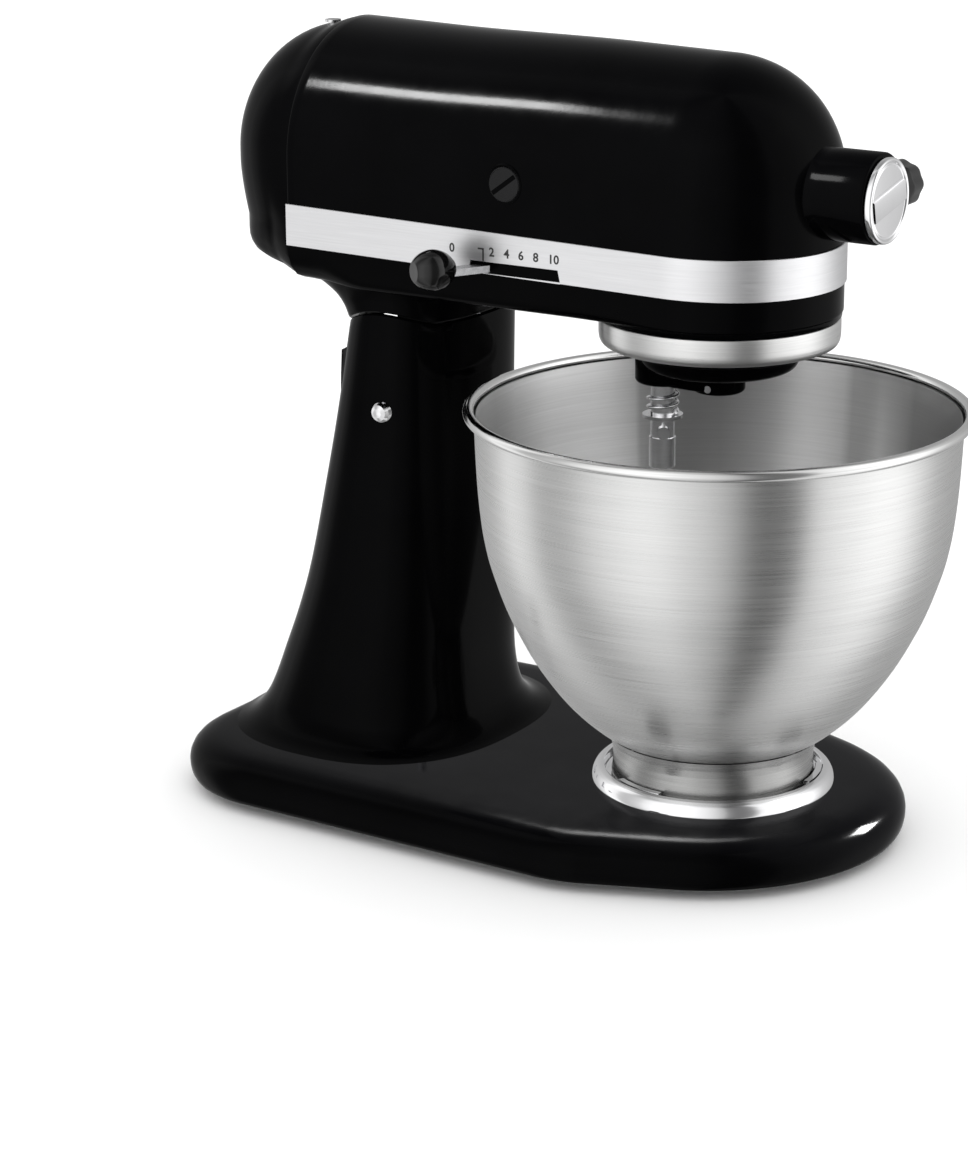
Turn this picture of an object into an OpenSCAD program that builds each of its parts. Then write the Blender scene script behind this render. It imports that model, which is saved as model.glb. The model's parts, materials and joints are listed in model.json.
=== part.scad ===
// Tilt-head stand mixer with its bowl, drive train and motor.
// +X runs towards the attachment hub, +Z is up, the beater turns about a line parallel to Z.
// Millimetres. The origin is under the middle of the mixer, on the surface that it stands on.

/* [Bowl] */
// Distance of the bowl axis ahead of the middle of the mixer
bowl_x = 68; // [66:0.5:69]
// Radius of the bowl over its rolled rim
bowl_r = 110.5; // [106:0.5:111]
// Height of the bowl rim
rim_z = 193.5; // [190:0.5:195]
// Thickness of the bowl wall
bowl_wall = 1.2; // [0.8:0.1:1.6]

/* [Head] */
// Height of the motor and hub axis
axis_z = 297.5; // [296.5:0.5:298.5]
// Half the width of the head at the nose
nose_r = 52.8; // [52.2:0.2:53.4]
// Half the width of the head at the motor end
tail_r = 56.8; // [55.8:0.2:57.2]
// Thickness of the head castings
head_wall = 3; // [2.6:0.2:3.4]
// Height of the joint between the upper and lower head castings
split_z = 266; // [265:0.5:267]

/* [Stand] */
// Thickness of the base and column castings
cast_wall = 5; // [4:0.5:6]
// Height of the rubber feet below the base
foot_h = 4; // [3:0.5:5]

/* [Hinge] */
// Height of the hinge pin, which carries the whole head with it
hinge_height = 182.9; // [182:0.1:184]
// Radius of the hinge pin
pin_r = 4.5; // [4:0.5:5]

/* [Drive] */
// Distance of the beater shaft from the bowl axis
orbit_r = 24; // [24:0.5:24.5]
// Radius of the beater shaft
shaft_r = 5.8; // [5.4:0.1:6]

/* [Hidden] */
$fn = 48;
pin_x = -76.5;
pin_z = 187.5;
joint_r = 44;
joint_gap = 0.8;
shelf_z = 227;
cheek_y = 46;
seam_x = -118.5;
tail_x = -166.6;
base_nose_x = bowl_x - 6.4;
// the shaft is thinner above its tool end
neck_r = shaft_r - 0.5;
under_z = 243;
ring_teeth = 48;
drive_teeth = 16;
orbit_dir = 213;
beater_x = bowl_x + orbit_r * cos(orbit_dir);
beater_y = orbit_r * sin(orbit_dir);
pinion_x = bowl_x - 31.2;
pinion_y = 25;
brush_x = -6.7;
hub_end = 146.5;
lever_x = -2.5;
lever_y = -28.6;
lever_z = 260.6;
lever_turn = 29.7;
lock_x = -88;
lock_z = 200;

// ---------- shared shapes ----------

// Cylinder along X starting at x
module rod_x(x, y, z, r, len) {
  translate([x, y, z]) rotate([0, 90, 0]) cylinder(r = r, h = len);
}

// Cylinder along Y starting at y
module rod_y(x, y, z, r, len) {
  translate([x, y, z]) rotate([-90, 0, 0]) cylinder(r = r, h = len);
}

// Cylinder along Z starting at z
module rod_z(x, y, z, r, len) {
  translate([x, y, z]) cylinder(r = r, h = len);
}

// Spur gear outline with straight-sided teeth, thinner than the gaps between them
module gear_2d(teeth, pitch_r, add, ded) {
  tooth = 360 / teeth;
  polygon([for (i = [0 : teeth - 1], p = [[-0.3, -ded], [-0.11, add], [0.11, add], [0.3, -ded]])
    (pitch_r + p[1]) * [cos(tooth * (i + p[0])), sin(tooth * (i + p[0]))]]);
}

// Rounded plan shape shared by the column and the neck of the head
function oval(x0, x1, w, steps = 32) = [for (i = [0 : steps - 1])
  let (t = 360 * i / steps, c = cos(t), s = sin(t))
  [(x0 + x1) / 2 + (x1 - x0) / 2 * sign(c) * pow(abs(c), 0.8), w * sign(s) * pow(abs(s), 0.8)]];

// Thin slice of the column
module slice(z, x0, x1, w) {
  translate([0, 0, z]) linear_extrude(0.2) polygon(oval(x0, x1, w));
}

// Half the plan outline of the head between the seam and the nose, inset by t
function head_half(t) = concat([[seam_x - (t > 1 ? 1 : 0), tail_r - t]],
  [for (a = [90 : -10 : 0]) [bowl_x + (nose_r - t) * cos(a), (nose_r - t) * sin(a)]]);

// Half the plan outline of the rounded motor end, inset by t
function tail_half(t) = [for (a = [180 : -10 : 90])
  let (c = abs(cos(a)), s = sin(a))
  [seam_x - (seam_x - tail_x - t) * pow(c, 0.85), (tail_r - 0.6 - t) * pow(s, 0.85)]];

// Body turned about the motor axis from a half outline that runs along X
module turned(half) {
  translate([0, 0, axis_z]) rotate([0, 90, 0])
    rotate_extrude($fn = 60)
      polygon(concat([[0, half[0][0]]], [for (p = half) [max(p[1], 0), p[0]]],
        [[0, half[len(half) - 1][0]]]));
}

// The same half outline mirrored and raised from z0 to the motor axis
module walls(half, z0) {
  n = len(half);
  translate([0, 0, z0]) linear_extrude(axis_z - z0)
    polygon(concat(half, [for (i = [n - 1 : -1 : 0]) [half[i][0], -half[i][1]]]));
}

// Whole head between seam and nose, inset by t, down to z0
module head_solid(t, z0) {
  turned(head_half(t));
  walls(head_half(t), z0);
}

// Turned about the upright line through (x, y)
module rotate_about(x, y, a) {
  translate([x, y, 0]) rotate([0, 0, a]) children();
}

// Two rods along Y, one on each side, from y0 to y1
module rod_pair(x, y0, y1, z, r) {
  rod_y(x, y0, z, r, y1 - y0);
  rod_y(x, -y1, z, r, y1 - y0);
}

// Upright rod on the axis from z0 to z1
module cylinder_between(r, z0, z1) {
  translate([0, 0, z0]) cylinder(r = r, h = z1 - z0);
}

// The head and hinge are laid out with the pin at pin_z, then set at the real height of the hinge
module upper() {
  translate([0, 0, hinge_height - pin_z]) children();
}

// Block from corner a to corner b
module block(a, b) {
  translate(a) cube(b - a);
}

// Disc with the rounded edge of the base casting
module base_disc(x, y, r) {
  translate([x, y, 0]) rotate_extrude()
    polygon([[0, foot_h], [r - 7, foot_h], [r - 2.2, 6.2], [r - 0.3, 9.5], [r, 12.5], [r - 0.9, 16],
      [r - 3.4, 19.6], [r - 8, 22.6], [r - 16, 24.4], [0, 25]]);
}

// ---------- stand ----------

foot_pos = [[132, 0], [58, 72], [58, -72], [-132, 72], [-132, -72]];
column_screw_pos = [[-140, 30], [-140, -30], [-66, 34], [-66, -34]];

module base() {
  color([0.02, 0.02, 0.02])
  difference() {
    union() {
      difference() {
        hull() {
          base_disc(base_nose_x, 0, 91.7);
          for (s = [-1, 1]) {
            base_disc(37, 44 * s, 60);
            base_disc(-118.5, 41 * s, 60);
          }
        }
        hull() {
          rod_z(base_nose_x, 0, -1, 85.2, 20);
          for (s = [-1, 1]) {
            rod_z(37, 44 * s, -1, 53.5, 20);
            rod_z(-118.5, 41 * s, -1, 53.5, 20);
          }
        }
      }
      for (p = foot_pos) rod_z(p[0], p[1], foot_h, 12, 16);
      for (p = column_screw_pos) rod_z(p[0], p[1], 12, 9, 12);
      for (a = [90, 210, 330]) rod_z(bowl_x + 36 * cos(a), 36 * sin(a), 12, 6, 12);
    }
    for (p = foot_pos) rod_z(p[0], p[1], 0, 5, 14);
    for (p = column_screw_pos) {
      rod_z(p[0], p[1], 0, 3.2, 40);
      rod_z(p[0], p[1], 0, 7, 14);
    }
    for (a = [90, 210, 330]) rod_z(bowl_x + 36 * cos(a), 36 * sin(a), 0, 2, 40);
  }
}

module feet() {
  color([0.05, 0.05, 0.05])
  for (p = foot_pos) translate([p[0], p[1], 0]) rotate_extrude()
    polygon([[0, 0], [9.5, 0], [11, 1.2], [11, foot_h], [5, foot_h], [5, 13], [0, 13]]);
}

module column() {
  color([0.02, 0.02, 0.02])
  difference() {
    union() {
      difference() {
        union() {
          hull() { slice(24, -166, -40, 70); slice(28, -162, -44, 63); }
          hull() { slice(28, -162, -44, 63); slice(37, -157.5, -48, 57.5); }
          hull() { slice(37, -157.5, -48, 57.5); slice(58, -149.5, -51, 53.5); }
          hull() { slice(58, -149.5, -51, 53.5); slice(101, -133.6, -51, 50); }
          hull() { slice(101, -133.6, -51, 50); upper() slice(187, -115, -51, 46.5); }
          upper() hull() { slice(187, -115, -51, 46.5); slice(shelf_z + 8, -106, -51, cheek_y); }
        }
        hull() { slice(10, -148, -57, 46); slice(240, -100, -57, 40); }
      }
      // bosses for the screws that come up through the base
      for (p = column_screw_pos) rod_z(p[0], p[1], 25, 8, 16);
    }
    upper() {
      // the top is round about the hinge pin, with a flat shelf ahead of it
      difference() {
        block([-140, -60, pin_z], [-40, 60, 260]);
        rod_y(pin_x, -70, pin_z, joint_r, 140);
        block([-57, -70, 150], [-30, 70, shelf_z - 0.4]);
      }
      // room for the ears and the lug of the head to turn in
      block([-125, -34, 199], [-94, 34, 260]);
      intersection() {
        rod_y(pin_x, -36, pin_z, 28.5, 72);
        block([-110, -36, 150], [-62, 36, 240]);
      }
      rod_y(pin_x, -60, pin_z, pin_r, 120);
      rod_y(lock_x, 30, lock_z, 3.05, 30);
      rod_z(-53.9, 0, 200, 1.9, 40);
      rod_z(pin_x, -cheek_y + 3, pin_z, 1.5, 60);
    }
    for (p = column_screw_pos) rod_z(p[0], p[1], 10, 2.5, 40);
  }
}

module column_screws() {
  color([0.5, 0.5, 0.52])
  for (p = column_screw_pos) difference() {
    union() {
      rod_z(p[0], p[1], 7.5, 5.5, 4.9);
      rod_z(p[0], p[1], 12, 2.5, 26);
    }
    translate([p[0], p[1], 6]) cylinder(r = 2.9, h = 4, $fn = 6);
  }
}

module column_washers() {
  color([0.55, 0.55, 0.57])
  for (p = column_screw_pos) difference() {
    rod_z(p[0], p[1], 12.4, 6.5, 1.6);
    rod_z(p[0], p[1], 12, 2.6, 3);
  }
}

module clamp_plate() {
  color([0.8, 0.8, 0.82])
  translate([bowl_x, 0, 0]) difference() {
    union() {
      // domed ring round the foot of the bowl
      rotate_extrude($fn = 72) polygon([[0, 25], [53.6, 25], [53.8, 26.4], [53.2, 28.6], [51.8, 30.6],
        [49.9, 31.8], [48.6, 31.9], [48, 31.2], [48, 27], [0, 27]]);
      // three lips that the bowl locks under
      for (a = [0, 120, 240]) rotate([0, 0, a]) rotate_extrude(angle = 30, $fn = 72)
        polygon([[45.2, 30.2], [48.2, 30.2], [48.2, 31.8], [45.2, 31.8]]);
    }
    for (a = [90, 210, 330]) rotate([0, 0, a]) {
      rod_z(36, 0, 20, 2.2, 10);
      translate([36, 0, 25.6]) cylinder(r1 = 2.2, r2 = 3.7, h = 1.5);
    }
  }
}

module clamp_screws() {
  color([0.7, 0.7, 0.72])
  for (a = [90, 210, 330]) translate([bowl_x, 0, 0]) rotate([0, 0, a]) difference() {
    union() {
      rod_z(36, 0, 10, 2, 16);
      translate([36, 0, 25.6]) cylinder(r1 = 2.1, r2 = 3.4, h = 1.3);
    }
    block([35.6, -5, 26.3], [36.4, 5, 30]);
  }
}

module hinge_pin() {
  color([0.75, 0.75, 0.77]) upper()
  translate([pin_x, 0, pin_z]) rotate([-90, 0, 0]) rotate_extrude()
    polygon([[0, -50.5], [2, -50.2], [3.6, -49.3], [pin_r, -47.6],
      [pin_r, 47.6], [3.6, 49.3], [2, 50.2], [0, 50.5]]);
}

module pin_set_screw() {
  color([0.5, 0.5, 0.52]) upper()
  difference() {
    rod_z(pin_x, -cheek_y + 3, pin_z + pin_r, 1.5, 8);
    rod_z(pin_x, -cheek_y + 3, pin_z + pin_r + 6, 0.8, 4);
  }
}

module height_screw() {
  color([0.6, 0.6, 0.62]) upper()
  rod_z(-53.9, 0, 205, 1.9, 21.6);
}

// Lock: a short shaft in the cheek with a finger inside and a lever outside
module lock_shaft() {
  color([0.5, 0.5, 0.52]) upper() {
    rod_y(lock_x, 33, lock_z, 3, 19);
    rod_y(lock_x, 33, lock_z, 4, 5);
    // the finger stands under a lug of the head when the lever is turned
    translate([lock_x, 33, lock_z]) rotate([0, -15, 0]) block([0, 0, -2], [10, 5, 2]);
  }
}

module lock_lever() {
  color([0.7, 0.7, 0.72]) upper()
  difference() {
    union() {
      rod_y(lock_x, 49, lock_z, 6, 3.2);
      translate([lock_x, 49.4, lock_z]) rotate([0, -95, 0]) block([4, 0, -2.6], [26, 2.4, 2.6]);
    }
    rod_y(lock_x, 45, lock_z, 3, 10);
  }
}

module lock_knob() {
  color([0.03, 0.03, 0.03]) upper()
  translate([lock_x, 51.8, lock_z]) rotate([0, -95, 0]) translate([22, 0, 0]) rotate([-90, 0, 0])
  rotate_extrude()
    polygon([[0, 0], [4, 0], [6, 3], [6.8, 7], [6, 10.5], [3.6, 13], [0, 14]]);
}

// ---------- bowl ----------

module bowl() {
  w = bowl_wall;
  r = bowl_r;
  color([0.7, 0.7, 0.7])
  translate([bowl_x, 0, 0]) {
    rotate_extrude($fn = 96) polygon([
      [r - 4.2, rim_z - 1], [r - 4.9, 185], [r - 5.4, 176], [r - 6.2, 161], [r - 8, 143], [r - 10.4, 130],
      [r - 14, 118], [r - 18.4, 106], [r - 23.6, 95], [r - 29.6, 84], [r - 36.6, 73.5], [r - 44.6, 63.5],
      [r - 54, 54.5], [r - 62, 48.6], [r - 72, 44.4], [r - 84, 42.2], [0, 41.4],
      [0, 41.4 + w], [r - 84, 42.2 + w], [r - 72.4, 44.5 + w], [r - 62.7, 48.8 + w], [r - 54.9, 54.7 + w],
      [r - 45.6, 63.9 + w], [r - 37.8, 73.7 + w], [r - 30.8, 84.2 + w], [r - 24.8, 95.2 + w],
      [r - 19.6, 106.2 + w], [r - 15.2, 118.2 + w], [r - 11.6, 130.2 + w], [r - 9.2, 143 + w],
      [r - 7.4, 161], [r - 6.6, 176], [r - 6.1, 185], [r - 5.4, rim_z - 1]]);
    // rolled rim
    rotate_extrude($fn = 96) translate([r - 2.5, rim_z - 0.2]) circle(r = 2.5, $fn = 24);
  }
}

module bowl_foot() {
  color([0.7, 0.7, 0.7])
  translate([bowl_x, 0, 0]) {
    rotate_extrude($fn = 96)
      polygon([[43.2, 27.4], [44.6, 27.4], [44.6, 43.5], [46.4, 47], [44.8, 47.6], [43.2, 44]]);
    // three tabs that turn under the lips of the clamp plate
    for (a = [2, 122, 242]) rotate([0, 0, a]) rotate_extrude(angle = 26, $fn = 96)
      polygon([[44.4, 28], [47.4, 28], [47.4, 29.6], [44.4, 29.6]]);
  }
}

// ---------- head castings and trim ----------

// Channel that the speed lever sweeps through
module lever_slot() {
  block([-24, -62, 258.6], [21, -38, 263.6]);
}

screw_pos = [[-36, 47.9], [-36, -47.9], [28, 46.8], [28, -46.8]];

module head_shell() {
  color([0.02, 0.02, 0.02]) upper()
  difference() {
    union() {
      difference() {
        intersection() {
          head_solid(0, 250);
          block([-150, -80, split_z], [200, 80, 400]);
        }
        head_solid(head_wall, 250);
      }
      // wall between the motor and the gears, with the front bearing in it
      intersection() {
        head_solid(head_wall - 0.5, 250);
        block([3, -80, 272], [11, 80, 400]);
      }
      // hub
      difference() {
        rod_x(100, 0, axis_z, 19.3, 43.5);
        difference() {
          head_solid(head_wall, 250);
          block([104, -40, 200], [200, 40, 400]);
        }
      }
      // boss over the worm wheel
      rod_z(pinion_x, pinion_y, 304, 7.5, 35);
      for (p = screw_pos) rod_z(p[0], p[1], split_z, 5, 18);
      for (s = [-1, 1]) rod_y(brush_x, s > 0 ? 46 : -52, axis_z, 10, 6);
    }
    rod_x(2, 0, axis_z, 11, 10);
    rod_x(90, 0, axis_z, 14, 30);
    rod_x(119, 0, axis_z, 15, 30);
    rod_y(134, 10, axis_z, 3.05, 20);
    rod_z(pinion_x, pinion_y, 300, 6, 12);
    rod_y(brush_x, -60, axis_z, 7, 120);
    rod_y(brush_x, -60, axis_z, 8.7, 8);
    rod_y(brush_x, 52, axis_z, 8.7, 8);
    for (p = screw_pos) rod_z(p[0], p[1], 250, 2, 30);
    rod_z(-112, 0, 340, 2, 8);
  }
}

module gearcase() {
  color([0.02, 0.02, 0.02]) upper()
  difference() {
    union() {
      difference() {
        intersection() {
          head_solid(0, under_z);
          block([-150, -80, 230], [200, 80, split_z - 0.02]);
        }
        intersection() {
          head_solid(head_wall, under_z);
          block([-150, -80, under_z + 3.6], [200, 80, 300]);
        }
      }
      // skirt round the planetary gear
      rod_z(bowl_x, 0, 237, 50.6, 7);
      rod_z(bowl_x, 0, 240.9, 52.2, 3);
      // neck over the column
      difference() {
        union() {
          hull() { slice(212, -107, -51, cheek_y); slice(232, -109, -51, cheek_y); }
          hull() { slice(232, -109, -51, cheek_y); slice(244, -121.8, -49, 48.5); }
        }
        hull() { slice(200, -101, -57, 40); slice(240, -112, -57, 41); }
        // its bottom is round about the hinge pin, and flat over the shelf
        rod_y(pin_x, -60, pin_z, joint_r + joint_gap, 120);
        block([-57, -60, 190], [-40, 60, shelf_z + 0.4]);
      }
      // hinge ears: a barrel behind the pin and a web up to the floor
      for (s = [-1, 1]) translate([0, s > 0 ? 28 : -14, 0]) rotate([90, 0, 0]) linear_extrude(14) {
        translate([pin_x, pin_z]) circle(r = 12.5);
        intersection() {
          translate([pin_x, pin_z]) circle(r = 26.5);
          polygon([[pin_x, pin_z], [pin_x - 4, pin_z + 40], [pin_x - 60, pin_z + 40],
            [pin_x - 60, pin_z - 22]]);
        }
        polygon([[pin_x - 10, pin_z], [-80, 222], [-80, 245], [-64, 245], [-64, 200], [pin_x + 12, pin_z]]);
      }
      block([-86, -30, 238], [-60, 30, 246]);
      // lug that the lock catches
      block([-85.5, 27.9, 210.5], [-81.5, 35.5, 213.5]);
      block([-85.5, 27.9, 210.5], [-81.5, 33.5, 246]);
      // boss of the centre shaft and post of the worm wheel
      rod_z(bowl_x, 0, 242, 11, 14);
      rod_z(pinion_x, pinion_y, 244, 9, 14);
      rod_z(lever_x, lever_y, 244, 3, 22);
      for (p = screw_pos) rod_z(p[0], p[1], 244, 5, split_z - 244.02);
    }
    rod_z(bowl_x, 0, 230, 47, 12);
    rod_z(bowl_x, 0, 230, 6.05, 40);
    rod_z(pinion_x, pinion_y, 247, 7, 20);
    rod_y(pin_x, -40, pin_z, pin_r + 0.05, 80);
    for (p = screw_pos) {
      rod_z(p[0], p[1], 230, 2.05, 60);
      rod_z(p[0], p[1], 230, 3.8, 16.5);
    }
    lever_slot();
  }
}

module trim_band() {
  color([0.75, 0.75, 0.77]) upper()
  difference() {
    walls(head_half(-0.9), 240);
    walls(head_half(-0.02), 230);
    // sloping lower and upper edges
    translate([bowl_x, -80, 257.2]) rotate([0, 0.9, 0]) block([-300, 0, -60], [100, 160, 0]);
    translate([bowl_x, -80, 275]) rotate([0, 1.1, 0]) block([-300, 0, 0], [100, 160, 60]);
    block([-140, -40, 200], [0, 40, 300]);
    lever_slot();
  }
}

module end_cover() {
  color([0.02, 0.02, 0.02]) upper()
  difference() {
    union() {
      turned(tail_half(0));
      walls(tail_half(0), 238);
    }
    intersection() {
      union() {
        turned(tail_half(head_wall));
        walls(tail_half(head_wall), 230);
      }
      rotate([90, 0, 0]) linear_extrude(160, center = true)
        polygon([[-180, 261.4], [-122, 247.4], [-117, 247.4], [-117, 400], [-180, 400]]);
    }
    rotate([90, 0, 0]) linear_extrude(160, center = true)
      polygon([[-181, 200], [-181, 258], [-122, 244.2], [-117, 244.2], [-117, 200]]);
    block([seam_x - 0.4, -80, 200], [0, 80, 400]);
    rod_x(-190, 16, 270, 6, 30);
    rod_z(-132, 0, 340, 1.7, 20);
    rod_z(-132, 0, 350.49, 3.65, 5);
  }
}

module end_cover_screw() {
  color([0.75, 0.75, 0.77]) upper()
  difference() {
    union() {
      rod_z(-132, 0, 338, 1.65, 12.7);
      rod_z(-132, 0, 350.5, 3.6, 1.1);
    }
    block([-137, -0.4, 351], [-127, 0.4, 353]);
  }
}

module cord_gland() {
  color([0.04, 0.04, 0.04]) upper()
  translate([0, 16, 270]) rotate([0, -90, 0]) rotate_extrude()
    polygon([[3.6, 157], [7.4, 157], [7.4, 159.9], [5.95, 159.9], [5.95, 166.6],
      [8, 166.6], [7.6, 169], [5.2, 172.6], [3.6, 172.6]]);
}

module drip_ring() {
  color([0.6, 0.6, 0.6]) upper()
  translate([bowl_x, 0, 0]) rotate_extrude($fn = 96)
    polygon([[47.2, 229.6], [48.6, 228.4], [50.4, 228.6], [51.6, 230], [52, 232.2],
      [52, 240.6], [50.7, 240.6], [50.7, 236.9], [47.2, 236.9]]);
}

module case_screws() {
  color([0.5, 0.5, 0.52]) upper()
  for (p = screw_pos) {
    rod_z(p[0], p[1], 246, 2, 30);
    rod_z(p[0], p[1], 244, 3.6, 2.4);
  }
}

// ---------- motor ----------

module brush_holders() {
  color([0.65, 0.5, 0.2]) upper()
  difference() {
    rod_pair(brush_x, 15, 51.8, axis_z, 6.9);
    rod_pair(brush_x, 14, 53, axis_z, 4.1);
  }
}

module brush_caps() {
  color([0.05, 0.05, 0.05]) upper()
  difference() {
    rod_pair(brush_x, 52, 56, axis_z, 8.5);
    for (s = [-1, 1]) translate([brush_x, 56 * s, axis_z]) rotate([0, 35, 0])
      cube([20, 2.4, 2.2], center = true);
  }
}

module brushes() {
  color([0.1, 0.1, 0.1]) upper()
  rod_pair(brush_x, 13.4, 30, axis_z, 4);
}

module brush_springs() {
  color([0.6, 0.6, 0.6]) upper()
  for (i = [0 : 8]) difference() {
    rod_pair(brush_x, 30.1 + 2.4 * i, 31.3 + 2.4 * i, axis_z, 3.9);
    rod_pair(brush_x, 29 + 2.4 * i, 33 + 2.4 * i, axis_z, 2.7);
  }
}

module stator() {
  color([0.45, 0.45, 0.47]) upper()
  difference() {
    rod_x(-82, 0, axis_z, 44, 46);
    rod_x(-83, 0, axis_z, 26, 48);
    for (s = [-1, 1]) block([-83, s > 0 ? 24 : -38, axis_z - 15], [-35, s > 0 ? 38 : -24, axis_z + 15]);
    block([-83, -50, 200], [-35, 50, 262]);
  }
}

module field_coils() {
  color([0.55, 0.28, 0.1]) upper()
  for (x = [-90, -35.8]) difference() {
    rod_x(x, 0, axis_z, 38, 7.8);
    rod_x(x - 1, 0, axis_z, 27, 10);
    block([x - 1, -50, 200], [x + 9, 50, 270]);
  }
}

module motor_bearings() {
  color([0.7, 0.7, 0.72]) upper()
  for (b = [[3, 11], [-104, 10]]) difference() {
    rod_x(b[0], 0, axis_z, b[1], b[0] > 0 ? 8 : 6);
    rod_x(b[0] - 1, 0, axis_z, 5.05, 10);
  }
}

module rear_bracket() {
  color([0.6, 0.6, 0.62]) upper()
  difference() {
    union() {
      rod_x(-106, 0, axis_z, 14, 8.5);
      for (a = [0, 180]) translate([-106, 0, axis_z]) rotate([a, 0, 0]) block([0, 8, -6], [4, 53.1, 6]);
    }
    rod_x(-104, 0, axis_z, 10, 10);
    rod_x(-110, 0, axis_z, 6, 20);
  }
}

module control_plate() {
  color([0.35, 0.2, 0.1]) upper()
  difference() {
    rod_x(-132, 0, axis_z, 30, 3);
    rod_x(-133, 0, axis_z, 6, 5);
    for (s = [-1, 1]) rod_x(-133, 20 * s, axis_z, 2, 5);
  }
}

module armature_shaft() {
  color([0.7, 0.7, 0.72]) upper()
  rod_x(-124, 0, axis_z, 5, 176);
}

// Single-start worm on the front of the armature shaft
module worm() {
  color([0.7, 0.7, 0.72]) upper()
  difference() {
    translate([pinion_x - 8.64, 0, axis_z]) rotate([0, 90, 0])
      linear_extrude(17.28, twist = -1980, slices = 44) translate([1, 0]) circle(r = 7, $fn = 16);
    rod_x(20, 0, axis_z, 5, 40);
  }
}

module armature_core() {
  color([0.4, 0.3, 0.2]) upper()
  difference() {
    union() {
      rod_x(-80, 0, axis_z, 25, 42);
      rod_x(-87, 0, axis_z, 19, 56);
    }
    rod_x(-90, 0, axis_z, 5, 70);
    for (a = [0 : 30 : 330]) translate([-81, 0, axis_z]) rotate([a, 0, 0]) block([0, -1, 21], [44, 1, 27]);
  }
}

module commutator() {
  color([0.72, 0.42, 0.2]) upper()
  difference() {
    rod_x(-17, 0, axis_z, 13, 18);
    rod_x(-18, 0, axis_z, 5, 20);
    for (a = [0 : 30 : 330]) translate([-18, 0, axis_z]) rotate([a, 0, 0])
      block([0, -0.3, 11.5], [16, 0.3, 14]);
  }
}

module fan() {
  color([0.5, 0.5, 0.52]) upper()
  difference() {
    union() {
      rod_x(-97, 0, axis_z, 9, 6.5);
      rod_x(-97, 0, axis_z, 37, 1.2);
      for (a = [0 : 36 : 324]) translate([-97, 0, axis_z]) rotate([a, 0, 0])
        block([0, -0.6, 8], [6, 0.6, 36]);
    }
    rod_x(-99, 0, axis_z, 5, 10);
  }
}

module governor() {
  color([0.6, 0.6, 0.62]) upper()
  difference() {
    union() {
      rod_x(-122, 0, axis_z, 8, 12);
      rod_x(-114, 0, axis_z, 16, 2);
      for (a = [0, 120, 240]) translate([-121, 0, axis_z]) rotate([a, 0, 0]) block([0, -3, 6], [8, 3, 15]);
    }
    rod_x(-124, 0, axis_z, 5, 16);
  }
}

// ---------- gears ----------

module worm_wheel() {
  color([0.75, 0.6, 0.3]) upper()
  translate([pinion_x, pinion_y, 0]) {
    translate([0, 0, axis_z - 3]) linear_extrude(6) rotate(270) gear_2d(36, 18, 0.5, 1.5);
    rotate([0, 0, 321.3 + 18]) translate([0, 0, 276]) linear_extrude(10) gear_2d(10, 8, 1.3, 1.7);
    cylinder_between(4, 249, 309);
    cylinder_between(6, 286, axis_z - 3);
  }
}

module wheel_bearings() {
  color([0.7, 0.5, 0.25]) upper()
  translate([pinion_x, pinion_y, 0]) difference() {
    union() {
      cylinder_between(6.98, 247.5, 257.5);
      cylinder_between(5.98, 304.5, 311.5);
    }
    cylinder_between(4.05, 240, 320);
  }
}

module centre_gear() {
  color([0.6, 0.6, 0.62]) upper()
  translate([bowl_x, 0, 0]) {
    rotate([0, 0, 141.3]) translate([0, 0, 276]) linear_extrude(10) gear_2d(40, 32, 1.3, 1.7);
    // crown teeth that turn the hub gear
    for (i = [0 : 35]) rotate([0, 0, 10 * i]) block([22, -0.6, 285.9], [27, 0.6, 288.7]);
    cylinder_between(6, 209, 292);
    cylinder_between(10, 256.4, 276);
  }
}

module ring_gear() {
  color([0.6, 0.6, 0.62]) upper()
  translate([bowl_x, 0, 231.4]) linear_extrude(9.4) difference() {
    circle(r = 46.9, $fn = 96);
    rotate(orbit_dir) polygon([for (i = [0 : ring_teeth - 1],
        p = [[-0.4, -1.3], [-0.21, 1.7], [0.21, 1.7], [0.4, -1.3]])
      (36 + p[1]) * [cos((i + p[0]) * 360 / ring_teeth), sin((i + p[0]) * 360 / ring_teeth)]]);
  }
}

module planetary() {
  color([0.03, 0.03, 0.03]) upper()
  difference() {
    union() {
      translate([bowl_x, 0, 0]) rotate_extrude($fn = 72) polygon([[0, 206.4], [10.6, 206.4], [11.6, 207.6],
        [11.8, 216.4], [30.4, 217], [33, 218.2], [34.4, 220.4], [35, 224], [43.6, 226], [43.6, 229.6],
        [0, 229.6]]);
      rod_z(beater_x, beater_y, 210.6, 12.2, 16);
      // arm from the centre to the boss of the beater shaft
      rotate_about(bowl_x, 0, orbit_dir) rotate([90, 0, 0]) linear_extrude(21, center = true)
        polygon([[0, 208.2], [10, 208.2], [24, 210.6], [24, 225], [0, 225]]);
    }
    rod_z(bowl_x, 0, 209, 6, 30);
    rod_z(beater_x, beater_y, 200, neck_r + 0.05, 40);
    rotate_about(bowl_x, 0, orbit_dir + 63) rod_x(4, 0, 209.6, 1.6, 12);
  }
}

module planetary_pin() {
  color([0.7, 0.7, 0.72]) upper()
  rotate_about(bowl_x, 0, orbit_dir + 63) rod_x(6.2, 0, 209.6, 1.6, 6.2);
}

module hub_gear() {
  color([0.6, 0.6, 0.62]) upper() {
    translate([90, 0, axis_z]) rotate([0, 90, 0]) rotate(12) linear_extrude(5)
      gear_2d(15, 10, 1, 1.5);
    rod_x(94.5, 0, axis_z, 8, 2);
    rod_x(95.4, 0, axis_z, 9, 16.6);
  }
}

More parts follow.
